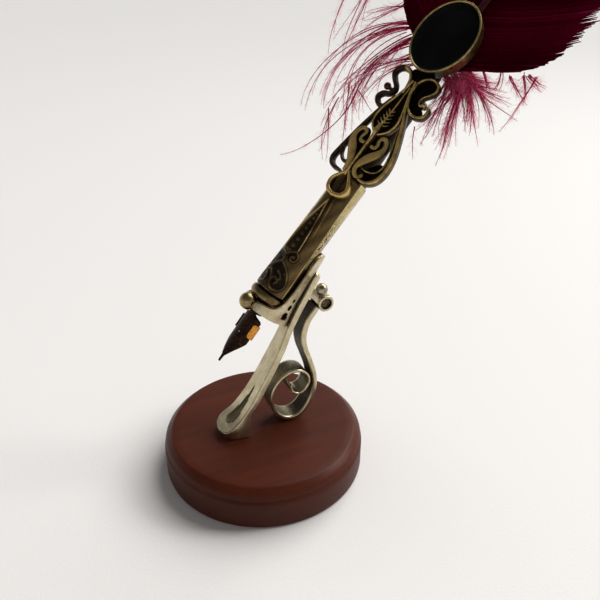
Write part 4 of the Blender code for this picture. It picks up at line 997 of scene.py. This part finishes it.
# The left loop and its spur are darkened to about 0.4: tarnish and painted shade.
join("loop_left_body", [rail("ll", loop_left, 160, 2.2, 1.1, 0.42), rail("ls", spur, 50, 1.6, 1.0, 0.4)],
    ["loop_left"])
loop_right = [(115.2, -2.4, 6, 0.6), (113.9, -4.2, 5.2, 0.75), (113.7, -7.2, 4.6, 0.9),
    (115.6, -9.9, 4.2, 0.95), (118.9, -11.2, 4, 0.95), (122.8, -11.2, 4, 0.9), (127.2, -10.3, 4.3, 0.85),
    (132.2, -8.5, 4.8, 0.8), (136.2, -6.8, 5.2, 0.75), (140, -5, 5.6, 0.7), (144, -2.9, 5.9, 0.6),
    (148, -1.2, 6.1, 0.5)]
inner_wire = [(117.6, -2.6, 5.2, 0.45), (117.4, -5.4, 4.9, 0.45), (118.6, -8.4, 4.5, 0.45),
    (121.6, -9.7, 4.3, 0.45), (126.6, -9, 4.5, 0.42), (132, -7.2, 4.9, 0.4), (136, -5.8, 5.2, 0.4)]
bowl = [(114.4, -4.2), (114.2, -7.2), (116, -9.6), (119, -10.6), (121.6, -9.8), (122.4, -7.4), (120, -5),
    (117, -3.6)]
parts = [rail("lr", loop_right, 160, 2.6, 1.0, 1.0, 0.4), rail("li", inner_wire, 80, 1.4, 0.7, 0.85)]
parts.append(slab("loop_bowl", closed_spline(bowl, 49), 2.6, 3.2, PLATE, crown=0.5))
join("loop_right_body", parts, ["loop_right"])

bud_half = [(130.2, 0.6), (131.2, 2.2), (133, 4), (136, 4.9), (139, 4.6), (142, 3.7), (145, 2.6), (148, 1.6),
    (151, 0.9), (152.4, 0.6)]
bud_path = spline(bud_half, 44)
rows = []
for s, half in bud_path:
    u = np.linspace(-1, 1, 15)
    top = columns([np.full(15, s), 0.3 + half * u, 5.9 - 0.25 * np.abs(u)])
    low = columns([np.full(15, s), 0.3 + half * u[::-1], 3.9 + 0.2 * u * u])
    rows.append(np.vstack([top, low]))
verts, faces = loft(rows)
bud_parts = [solid("bud_bed", pen(verts), faces, PLATE, "pen")]
for sign, shade in ((1, 0.95), (-1, 1.05)):
    edge = [(s, 0.3 + sign * half, 6.0, 0.55) for s, half in bud_half]
    bud_parts.append(rail(f"bud_rim{sign}", edge, 100, 2.0, 1.0, shade))
bud_parts.append(rail("bud_mid", [(130.6, 0.35, 6.3, 1), (133, 0.4, 6.3, 0.75), (137, 0.4, 6.2, 0.5),
    (143, 0.3, 6.1, 0.36), (150, 0.3, 6, 0.32)], 60, 0.8))
for k in range(5):
    s = 133.4 + 1.4 * k
    reach = 2.5 - 0.26 * k
    for sign in (1, -1):
        rib = [(s, 0.4, 6.25, 0.40), (s + 0.4, 0.4 + sign * reach * 0.5, 6.2, 0.38),
            (s + 1.2, 0.4 + sign * reach, 6.1, 0.2)]
        bud_parts.append(wire(f"bud_rib{k}{sign}", rib, count=12, sides=8))
join("bud_body", bud_parts, ["bud"])

# Crests: the outer curls, and the dark web that joins them to the stone's cup
crest_top = [(147.6, 1.6, 5.9, 0.5), (150.4, 1.9, 5.9, 0.65), (152.8, 2.6, 5.8, 0.7), (155, 4.4, 5.7, 0.8),
    (155.9, 7, 5.5, 1)]
crest = [(155.7, 6.2, 5.4, 0.95), (155.7, 7.8, 5.4, 1.1), (154.4, 9.6, 5.4, 1.15), (152.2, 10, 5.4, 1.1),
    (150.2, 8.3, 5.4, 1), (148.6, 6.4, 5.4, 0.95), (146.8, 5.6, 5.4, 0.95), (145.2, 6.6, 5.4, 0.95),
    (144.2, 8.9, 5.4, 1.05), (142.2, 10, 5.4, 1.05), (140.4, 8.6, 5.4, 1), (140, 6.7, 5.4, 0.85),
    (140.8, 4.8, 5.6, 0.7)]
# The crest's curls and stalk are darkened to 0.34 to 0.4, and its knob is dark bronze: tarnish and painted
# shade; its top curl stays bright.
parts = [rail("cl", crest, 190, 2.0, 1.3, 0.34), rail("ct", crest_top, 70, 2.0, 1.0, 1.0)]
parts.append(rail("stalk", [(146.9, 9, 5.4, 0.75), (146.85, 7.2, 5.4, 0.6), (146.8, 5.6, 5.4, 0.5)], 20, 1.6,
    1, 0.4))
parts.append(sphere("knob", 1.35, pen([[146.9, 9.0, 5.6]])[0], KNOB, "pen", 20, 28))
join("crest_left_body", parts, ["crest_left"])

scroll = [(148.4, -0.9, 5.9, 0.5), (150.4, -1, 5.9, 0.55), (152.8, -1.5, 5.8, 0.6), (155, -3.2, 5.7, 0.62),
    (156, -6, 5.6, 0.62), (154.8, -8.8, 5.6, 0.62), (152.7, -9.5, 5.6, 0.6), (150.8, -8.3, 5.6, 0.5),
    (149, -6.6, 5.6, 0.45), (147.2, -6.3, 5.6, 0.45), (146.1, -7.3, 5.6, 0.5), (146.5, -8.7, 5.6, 0.7)]
branch = [(152, -1.2, 5.8, 0.5), (150.2, -1.2, 5.8, 0.55), (147, -1.9, 5.8, 0.6), (143.8, -3.8, 5.7, 0.62),
    (142, -6.6, 5.6, 0.7), (142, -9.2, 5.6, 0.8), (143.2, -11.2, 5.6, 0.8), (145.4, -11.6, 5.6, 0.75),
    (146.6, -10.6, 5.6, 0.7)]
field = [(151, -1.6), (153.6, -2.6), (155.4, -5), (155.2, -7.6), (153.2, -9), (151.2, -8.2), (149.2, -6.4),
    (147.4, -5.9), (146, -6.6), (145.4, -8.2), (144, -9.6), (142.6, -8.8), (142.5, -6.6), (144.2, -4.2),
    (147.4, -2.4)]
web = [(148, 0.3), (151, 1.6), (154, 3.4), (156.4, 4.6), (157.6, 2), (157.8, -1), (157.2, -4.6),
    (155.4, -3.6), (153, -1.8), (150.4, -1)]
parts = [rail("cr", scroll, 150, 2.2, 1.0, 0.85, 0.15), rail("cb", branch, 110, 2.2, 1.0, 0.9, 0.25),
    slab("cf", closed_spline(field, 89), 3.8, 4.6, PLATE)]
parts.append(slab("web", closed_spline(web, 69), 3.8, 5.0, PLATE))
parts.append(sphere("cr_knob", 1.0, pen([[146.8, -9.0, 6.0]])[0], BALL_METAL, "pen", 18, 24))
join("crest_right_body", parts, ["crest_right"])

# ---------------------------------------------------------------- stone in its cup


OVAL_TURNS = 160


def oval(inset, n, count=OVAL_TURNS):
    """The stone's outline, drawn in by inset, at height n."""
    turns = circle(count)
    a, b = OVAL_A - inset, OVAL_B - inset
    return pen(columns([OVAL_S + a * np.cos(turns), b * np.sin(turns), np.full(count, n)]))


cup = rounded([(7, 2.9), (1, 2.9), (0.5, 3.6), (0.25, 7.4), (0, 8), (0.2, OVAL_N + 0.2), (0.5, OVAL_N + 0.25),
    (0.85, OVAL_N), (0.9, 5.6), (7, 5.6)], 0.2, 3)
verts, faces = loft([oval(i, n) for i, n in cup], closed=True)
# The cup is darkened at its end towards the crests, below the rim.
low_end = smoothstep(0.62, 0.85, -np.cos(circle(OVAL_TURNS)))
stain = np.concatenate([low_end * 0.95 * (n < 7.6) for _, n in cup])
solid("bezel_body", verts, faces, BEZEL, "pen", ["bezel_cup"], "bronze", stain=stain, sharp=55)
dome = [(1.3, 5.9), (0.98, 6.2), (0.98, 7.7), (1.15, 8), (1.6, 8.15)] + [(1.6 + 10.3 * k / 12,
    8.15 + 0.7 * (1 - (1 - k / 12) ** 2)) for k in range(1, 13)]
verts, faces = loft([oval(i, n) for i, n in dome])
solid("stone_body", verts, faces, ONYX, "pen", ["onyx_stone"], "onyx", sharp=50)

# ---------------------------------------------------------------- nib

nib_rows = [(28.7, 0.42, 4, 0.9), (31.4, 0.6, 4, 0.95), (33, 1.5, 4.2, 1), (36, 3.1, 4.6, 1.1),
    (38.4, 4.5, 5, 1.2), (40, 5.4, 5, 1.3), (44, 5.4, 5, 1.5), (48.4, 5.4, 4.9, 1.8), (49.6, 5.7, 4.8, 1.9),
    (50.3, 5, 4.4, 2), (51, 2.9, 2.6, 2.1), (51.4, 2.3, 2.1, 2.1), (62, 2.3, 2.1, 2.1)]
table = np.array(nib_rows)
stations = np.unique(np.concatenate([np.linspace(28.7, 51.4, 70), np.linspace(51.4, 62.0, 10), table[:, 0]]))
rings = []
for s in stations:
    arc, radius, crown = (np.interp(s, table[:, 0], table[:, k]) for k in (1, 2, 3))
    u = np.linspace(-1, 1, 25)
    shift = -0.3 * float(1 - smoothstep(49.5, 50.5, s))
    ring = [(s, shift + radius * math.sin(t * arc / radius),
        crown - radius + radius * math.cos(t * arc / radius)) for t in u]
    r = radius - 0.4
    ring += [(s, shift + r * math.sin(t * arc / radius), crown - radius + r * math.cos(t * arc / radius))
        for t in u[::-1]]
    rings.append(ring)
verts, faces = loft(rings)
nib = solid("nib_body", pen(verts), faces, NIB, "nib", ["nib"], "dark_metal", sharp=40)
pen_z = lambda p: pen(columns([42.6 + p[:, 1], p[:, 2], p[:, 0]]))
vent = turned("cut_vent", [(0.01, -3), (0.32, -3), (0.32, 5), (0.01, 5)], pen_z, NIB, None, 32)
slit_rings = [np.array([(27, -0.10, n), (42.6, -0.10, n), (42.6, 0.10, n), (27, 0.10, n)]) for n in (-3, 5)]
verts, faces = loft([pen(r) for r in slit_rings])
slit = solid("cut_slit", verts, faces, NIB, None)
cut(nib, [vent, slit])

# Reservoir: brass strip under the nib with a wing folded round each edge
strip_t = 0.35
rings = []
for s, wrap in ((42.5, 0.35), (42.6, 0.55), (42.9, 0.75), (43.4, 0.85), (45.6, 0.85), (47.8, 0.85),
    (48.2, 0.7), (48.4, 0.5)):
    radius = 4.95
    centre = 1.5 + 0.06 * (s - 44) - radius
    edge = 5.45 / radius
    under, over = radius - 0.7 - strip_t / 2, radius + GAP + strip_t / 2
    bend = (over - under) / 2
    line = [(-0.3 + under * math.sin(u * edge), centre + under * math.cos(u * edge))
        for u in np.linspace(-1, 1, 15)]
    for sign in (1, -1):
        hook = []
        for swing in np.linspace(0.3, math.pi - 0.3, 7):
            turn = edge + bend * math.sin(swing) / radius
            r = under + bend * (1 - math.cos(swing))
            hook.append((-0.3 + sign * r * math.sin(turn), centre + r * math.cos(turn)))
        for turn in np.linspace(edge, edge - (wrap * 0.5 if sign < 0 else 0.04), 6):
            hook.append((-0.3 + sign * over * math.sin(turn), centre + over * math.cos(turn)))
        line = line + hook if sign == 1 else hook[::-1] + line
    flat = np.array(line)
    tangent = unit(np.gradient(flat, axis=0))
    normal = columns([-tangent[:, 1], tangent[:, 0]]) * strip_t / 2
    rings.append([(s, *p) for p in np.vstack([flat + normal, (flat - normal)[::-1]])])
verts, faces = loft(rings)
# The wing on the +v side is darkened.
stain = smoothstep(1.0, 3.0, np.array(verts)[:, 1])
solid("reservoir_body", pen(verts), faces, AMBER, "nib", ["nib_reservoir"], "amber_brass", sharp=45,
    stain=stain)

# ---------------------------------------------------------------- feather

shaft = [(0.01, 164.4), (1.5, 164.4), (1.6, 190), (1.35, 220), (0.95, 260), (0.6, 300),
    (0.3, FEATHER_TIP - 1), (0.01, FEATHER_TIP)]
turned("quill_body", shaft, pen, QUILL, "pen", 32, stands_for=["feather_shaft"], slot="quill")


def strands(paths, radii, sides=3, flat=1.0, tilt=None):
    """Closed thin tubes round many polylines of equal length: paths (m, n, 3), radii (m, n)."""
    m, n = paths.shape[:2]
    tangent = unit(np.gradient(paths, axis=1), 1e-12)
    side = unit(np.cross(np.array([0.0, 0.0, 1.0]), tangent), 1e-12)
    up = np.cross(tangent, side)
    if tilt is not None:
        side, up = side * math.cos(tilt) + up * math.sin(tilt), up * math.cos(tilt) - side * math.sin(tilt)
    turns = circle(sides)
    ring = np.cos(turns)[None, None, :, None] * side[:, :, None, :] + np.sin(turns)[None, None, :,
        None] * up[:, :, None, :] * flat
    verts = (paths[:, :, None, :] + ring * radii[:, :, None, None]).reshape(-1, 3)
    base = (np.arange(m) * n * sides)[:, None, None]
    i = (np.arange(n - 1) * sides)[None, :, None]
    k = np.arange(sides)[None, None, :]
    j = (k + 1) % sides
    quads = np.stack([base + i + k, base + i + j, base + i + sides + j, base + i + sides + k], -1).reshape(-1,
        4)
    caps = [tuple(range(b + sides - 1, b - 1, -1)) for b in (np.arange(m) * n * sides)]
    caps += [tuple(range(b + (n - 1) * sides, b + n * sides)) for b in (np.arange(m) * n * sides)]
    return verts, [tuple(q) for q in quads.tolist()] + caps


left_edge = [(162.4, 4.4), (165, 9.5), (168, 15.2), (171.6, 21.8), (176, 28), (181, 33), (190, 36.6),
    (206, 38), (240, 36.6), (272, 32), (296, 24.4), (312, 14.6), (319.5, 6.6), (FEATHER_TIP, 1.2)]
right_edge = [(162.2, 4.4), (164.1, 7.8), (166, 11.6), (168.7, 16.9), (171.7, 22.8), (174.6, 28.5),
    (181.2, 34.2), (196, 37), (236, 36.2), (268, 31.4), (292, 23.8), (310, 13.8), (318.6, 6.2),
    (FEATHER_TIP, 1.2)]
BARBS = 300
STEPS = 16
for name, edge, sign in (("vane_left", left_edge, 1), ("vane_right", right_edge, -1)):
    ends = spline(edge, BARBS)
    order = np.linspace(0, 1, BARBS)
    reach = np.clip((order - 0.02) / 0.2, 0, 1)
    root_s = np.interp(order, [0.0, 0.22, 1.0], [161.2, 166.0, 317.5])
    root_s = np.minimum(root_s, ends[:, 0] - 0.4)
    ruffle = 1 + 0.012 * np.sin(order * 160) + 0.012 * rng.normal(size=BARBS)
    ruffle = ruffle - 0.02 * (np.sin(order * 47) > 0.93)
    paths = np.zeros((BARBS, STEPS, 3))
    t = np.linspace(0, 1, STEPS)
    for k in range(BARBS):
        a = np.array([root_s[k], np.interp(root_s[k], [160.0, 260.0, 317.0], [0.9, 0.4, 0.0])])
        b = a + (ends[k, :2] - a) * ruffle[k]
        length = np.linalg.norm(b - a)
        middle = (a + b) / 2 + np.array([-0.10 * length * reach[k], 0.05 * length * reach[k]])
        curve = (1 - t)[:, None] ** 2 * a + (2 * t * (1 - t))[:, None] * middle + t[:, None] ** 2 * b
        wave = 0.35 * math.sin(k * 0.13) + 0.2 * math.sin(k * 0.41 + 1)
        sag = 0.55 - 0.0016 * curve[:, 1] ** 2 + wave * t**1.5
        paths[k] = columns([curve[:, 0], sign * curve[:, 1], sag])
    width = 0.62 * np.interp(t, [0, 0.08, 0.75, 1.0], [0.7, 1.0, 0.95, 0.25])
    radii = np.tile(width, (BARBS, 1)) * rng.uniform(0.9, 1.1, (BARBS, 1))
    verts, faces = strands(paths, radii, sides=6, flat=0.16, tilt=0.22)
    tone = 0.38 + 0.05 * rng.normal(size=BARBS) + 0.14 * np.sin(np.arange(BARBS) * 0.09)
    streak = rng.uniform(size=BARBS) > 0.988
    tone = np.where(streak, 0.72, tone)[:, None] + 0.16 * smoothstep(0.7, 1.0, t)[None,
        :] - 0.10 * (1 - smoothstep(0, 0.3, t))[None, :]
    tone = np.repeat(np.clip(tone, 0, 1).ravel(), 6)
    piece(f"{name}_body", pen(verts), faces, VANE, "pen", [name], "vane", sharp=None, tone=tone)


def sweep(starts, first, last, lengths, n=18, level=-2.0, drift=0.0, wobble=0.0):
    """Polylines that turn evenly from heading first to heading last, in degrees from +s towards +v."""
    starts, first, last, lengths = (np.asarray(x, float) for x in (starts, first, last, lengths))
    t = np.linspace(0, 1, n)
    heading = np.radians(first[:, None] + (last - first)[:, None] * t
        + wobble * np.sin(t * 9 + starts[:, :1] * 3))
    step = lengths[:, None] / (n - 1)
    ds = np.cumsum(np.cos(heading) * step, 1) - np.cos(heading[:, :1]) * step
    dv = np.cumsum(np.sin(heading) * step, 1) - np.sin(heading[:, :1]) * step
    height = np.asarray(level)[..., None] + np.asarray(drift)[..., None] * t
    return np.stack([starts[:, :1] + ds, starts[:, 1:2] + dv, np.broadcast_to(height, ds.shape)], -1), heading


# Leading strands of each tuft: start (s, v), first and last heading, length, how many lie beside it
left_tuft = [(173.3, 24, 105, 212, 59, 4), (171.8, 22.4, 108, 212, 57, 4), (170.7, 23, 118, 245, 50, 2),
    (169.6, 19, 136, 200, 50, 3), (169, 18, 140, 222, 47, 4), (166.4, 17, 125, 228, 45, 3),
    (161.3, 13.4, 112, 172, 40, 2), (160, 11, 118, 190, 30, 2), (156.4, 25.8, 174, 200, 27, 2),
    (144.8, 26.1, 205, 130, 44, 0), (143, 29.9, 215, 210, 27, 1), (136.4, 31.3, 175, 228, 26, 1),
    (130.6, 30.8, 222, 210, 21, 1), (142.4, 24.9, 250, 246, 12, 0), (184, 52, 176, 210, 34, 1),
    (182, 62, 180, 212, 34, 1), (184, 50, 190, 200, 36, 2), (180.3, 31, 152, 118, 19, 1),
    (178, 30, 120, 160, 22, 3), (163, 14, 150, 120, 14, 5)]
right_tuft = [(163.6, -9.6, 202, 206, 31, 9), (163.6, -9.6, 172, 206, 29, 6), (163.3, -9.4, 188, 150, 24, 3),
    (163.6, -10, 210, 196, 34, 8), (163.4, -10.4, 232, 222, 24, 7), (163.6, -10.8, 262, 222, 26, 6),
    (163.9, -10.8, 256, 268, 24, 8), (164.5, -10.8, 262, 288, 17, 7), (164, -10, 240, 206, 22, 9),
    (160.1, -5.7, 212, 176, 24, 3), (159.5, -4.5, 199, 184, 16, 3), (141.1, -5.7, 200, 218, 11, 0),
    (168.5, -15, 240, 218, 9, 4), (170.6, -20.8, 222, 170, 8, 3), (171.5, -24.3, 236, 246, 12, 4),
    (173, -29, 232, 200, 11, 4), (174.5, -33, 190, 181, 22, 1), (174, -30, 250, 262, 9, 5),
    (163, -12, 200, 190, 12, 8), (166.4, -8.6, 238, 222, 15, 12), (165.6, -7.2, 240, 214, 13, 11),
    (164.6, -5.6, 236, 205, 11, 9), (166.8, -9.8, 250, 236, 13, 10), (162.2, -3.8, 252, 232, 7, 14),
    (161.4, -2.8, 244, 226, 6, 10), (163.6, -5, 258, 244, 9, 10), (166.2, -8.4, 232, 228, 8, 14),
    (160.4, -4.8, 262, 244, 9, 9), (162, -6.4, 264, 286, 10, 10), (161.2, -5.6, 250, 214, 15, 7),
    (164.5, -9, 275, 292, 13, 8)]
for name, tuft in (("down_left", left_tuft), ("down_right", right_tuft)):
    rows = []
    for s, v, first, last, length, beside in tuft:
        rows.append((s, v, first, last, length, 0.0))
        for _ in range(beside):
            j = rng.normal(size=5)
            rows.append((s + 0.5 * j[0], v + 0.5 * j[1], first + 4.5 * j[2], last + 8 * j[3],
                length * (0.9 - 0.13 * abs(j[4])), 1.0))
    rows = np.array(rows)
    count = len(rows)
    level = -0.6 - rng.uniform(0, 2.4, count)
    drift = rng.normal(size=count) * 2.5
    paths, heading = sweep(rows[:, :2], rows[:, 2], rows[:, 3], rows[:, 4], 22, level, drift, 3.0)
    taper = np.interp(np.linspace(0, 1, 22), [0, 0.35, 0.7, 1], [1.5, 1.05, 0.7, 0.3])
    thick = np.where(rows[:, 5] > 0, 0.15, 0.20)[:, None] * taper * np.interp(rows[:, 4], [8, 40],
        [0.8, 1.15])[:, None]
    verts, faces = strands(paths, thick, 4)
    tone = np.repeat((np.clip(rng.normal(0.27, 0.10, count), 0, 0.55)[:, None] + 0.26 * np.linspace(0, 1,
        22)[None, :]).ravel(), 4)
    main = piece(name + "_strands", pen(verts), faces, DOWN, "pen", sharp=None, tone=tone)
    starts, first, lengths, levels = [], [], [], []
    for k in range(count):
        every = 0.75
        number = max(4, int(rows[k, 4] / every))
        at = np.sort(rng.uniform(0.03, 0.97, number)) * 21
        for side_sign in (1, -1):
            i = np.floor(at).astype(int)
            f = (at - i)[:, None]
            here = paths[k, i] * (1 - f) + paths[k, np.minimum(i + 1, 21)] * f
            starts.append(here[:, :2])
            levels.append(here[:, 2])
            first.append(np.degrees(heading[k, i]) + side_sign * rng.uniform(22, 48, number))
            fullness = np.interp(at / 21, [0, 0.3, 0.8, 1], [1.2, 1.0, 0.6, 0.3])
            lengths.append(rng.uniform(1.6, 4.2, number) * fullness)
    starts, first, lengths, levels = (np.concatenate(x) for x in (starts, first, lengths, levels))
    bend = rng.normal(size=len(first)) * 14
    hair, _ = sweep(starts, first, first + bend - np.sign(np.sin(first)) * 6, lengths, 5, levels,
        rng.normal(size=len(first)) * 0.8)
    fine = np.tile(0.024 * np.array([1.0, 0.95, 0.85, 0.7, 0.4]), (len(first), 1))
    verts, faces = strands(hair, fine, 3)
    tone = np.repeat(np.clip(rng.normal(0.78, 0.12, len(first)), 0.3, 1.0), 15)
    fluff = piece(name + "_fluff", pen(verts), faces, DOWN, "pen", sharp=None, tone=tone)
    join(name + "_body", [main, fluff], [name])

# ---------------------------------------------------------------- floor, light, camera

floor_mesh = bpy.data.meshes.new("floor")
FLOOR_REACH = 14.0
corners = [(x * FLOOR_REACH, y * FLOOR_REACH, 0) for x, y in ((-1, -1), (1, -1), (1, 1), (-1, 1))]
floor_mesh.from_pydata(corners, [], [(0, 1, 2, 3)])
floor = bpy.data.objects.new("floor", floor_mesh)
bpy.context.scene.collection.objects.link(floor)
cloth = Nodes("pale_cloth", (0.78, 0.765, 0.755), 0.0, 0.9)
cloth.bump(cloth.noise(0.9, 5.0), 0.12, 0.5)
floor_mesh.materials.append(cloth.mat)
floor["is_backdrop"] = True

world = bpy.data.worlds.new("soft_room")
bpy.context.scene.world = world
world.use_nodes = True
sky = world.node_tree
toward = sky.nodes.new("ShaderNodeTexCoord").outputs["Generated"]
height = sky.nodes.new("ShaderNodeSeparateXYZ")
sky.links.new(toward, height.inputs[0])
shade = sky.nodes.new("ShaderNodeValToRGB")
sky.links.new(height.outputs["Z"], shade.inputs["Fac"])
ROOM = ((0, 0.86), (0.12, 0.84), (0.34, 0.40), (0.62, 0.15), (1, 0.11))
for _ in ROOM[2:]:
    shade.color_ramp.elements.new(0.5)
for element, (at, grey) in zip(shade.color_ramp.elements, ROOM):
    element.position = at
    element.color = (grey, grey * 0.99, grey * 0.98, 1)
sky.links.new(shade.outputs["Color"], sky.nodes["Background"].inputs["Color"])
sky.nodes["Background"].inputs["Strength"].default_value = 1.0
bpy.context.scene.view_settings.view_transform = "Standard"


def lamp(name, kind, at, look, colour, **settings):
    data = bpy.data.lights.new(name, kind)
    data.color = colour
    for key, value in settings.items():
        setattr(data, key, value)
    made = bpy.data.objects.new(name, data)
    bpy.context.scene.collection.objects.link(made)
    if kind == "AREA":
        made.location = at
    made.rotation_mode = "QUATERNION"
    made.rotation_quaternion = (Vector(look) - Vector(at)).to_track_quat("-Z", "Y")


DAYLIGHT = (1.0, 0.99, 0.97)
lamp("window_light", "SUN", (0.62, 0.22, 0.72), (0, 0, 0), DAYLIGHT, energy=3.1, angle=math.radians(50))
lamp("window", "AREA", (1.1, -0.35, 0.75), (0.03, 0, 0.08), DAYLIGHT, shape="RECTANGLE", size=0.35,
    size_y=0.5, energy=7.0)

CAMERA_AT = (-0.07432, -0.19861, 0.18870)
AZIMUTH, ELEVATION = math.radians(-24.65), math.radians(28.21)
back = Vector((math.sin(AZIMUTH) * math.cos(ELEVATION), -math.cos(AZIMUTH) * math.cos(ELEVATION),
    math.sin(ELEVATION)))
right = Vector((math.cos(AZIMUTH), math.sin(AZIMUTH), 0.0))
turn = Matrix((right, back.cross(right), back)).transposed()
lens = bpy.data.cameras.new("camera")
lens.lens = 38.4
lens.sensor_width = 36.0
lens.clip_start = 0.01
lens.clip_end = 20.0
camera = bpy.data.objects.new("camera", lens)
bpy.context.scene.collection.objects.link(camera)
camera.matrix_world = Matrix.Translation(CAMERA_AT) @ turn.to_4x4()
bpy.context.scene.camera = camera

low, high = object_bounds()
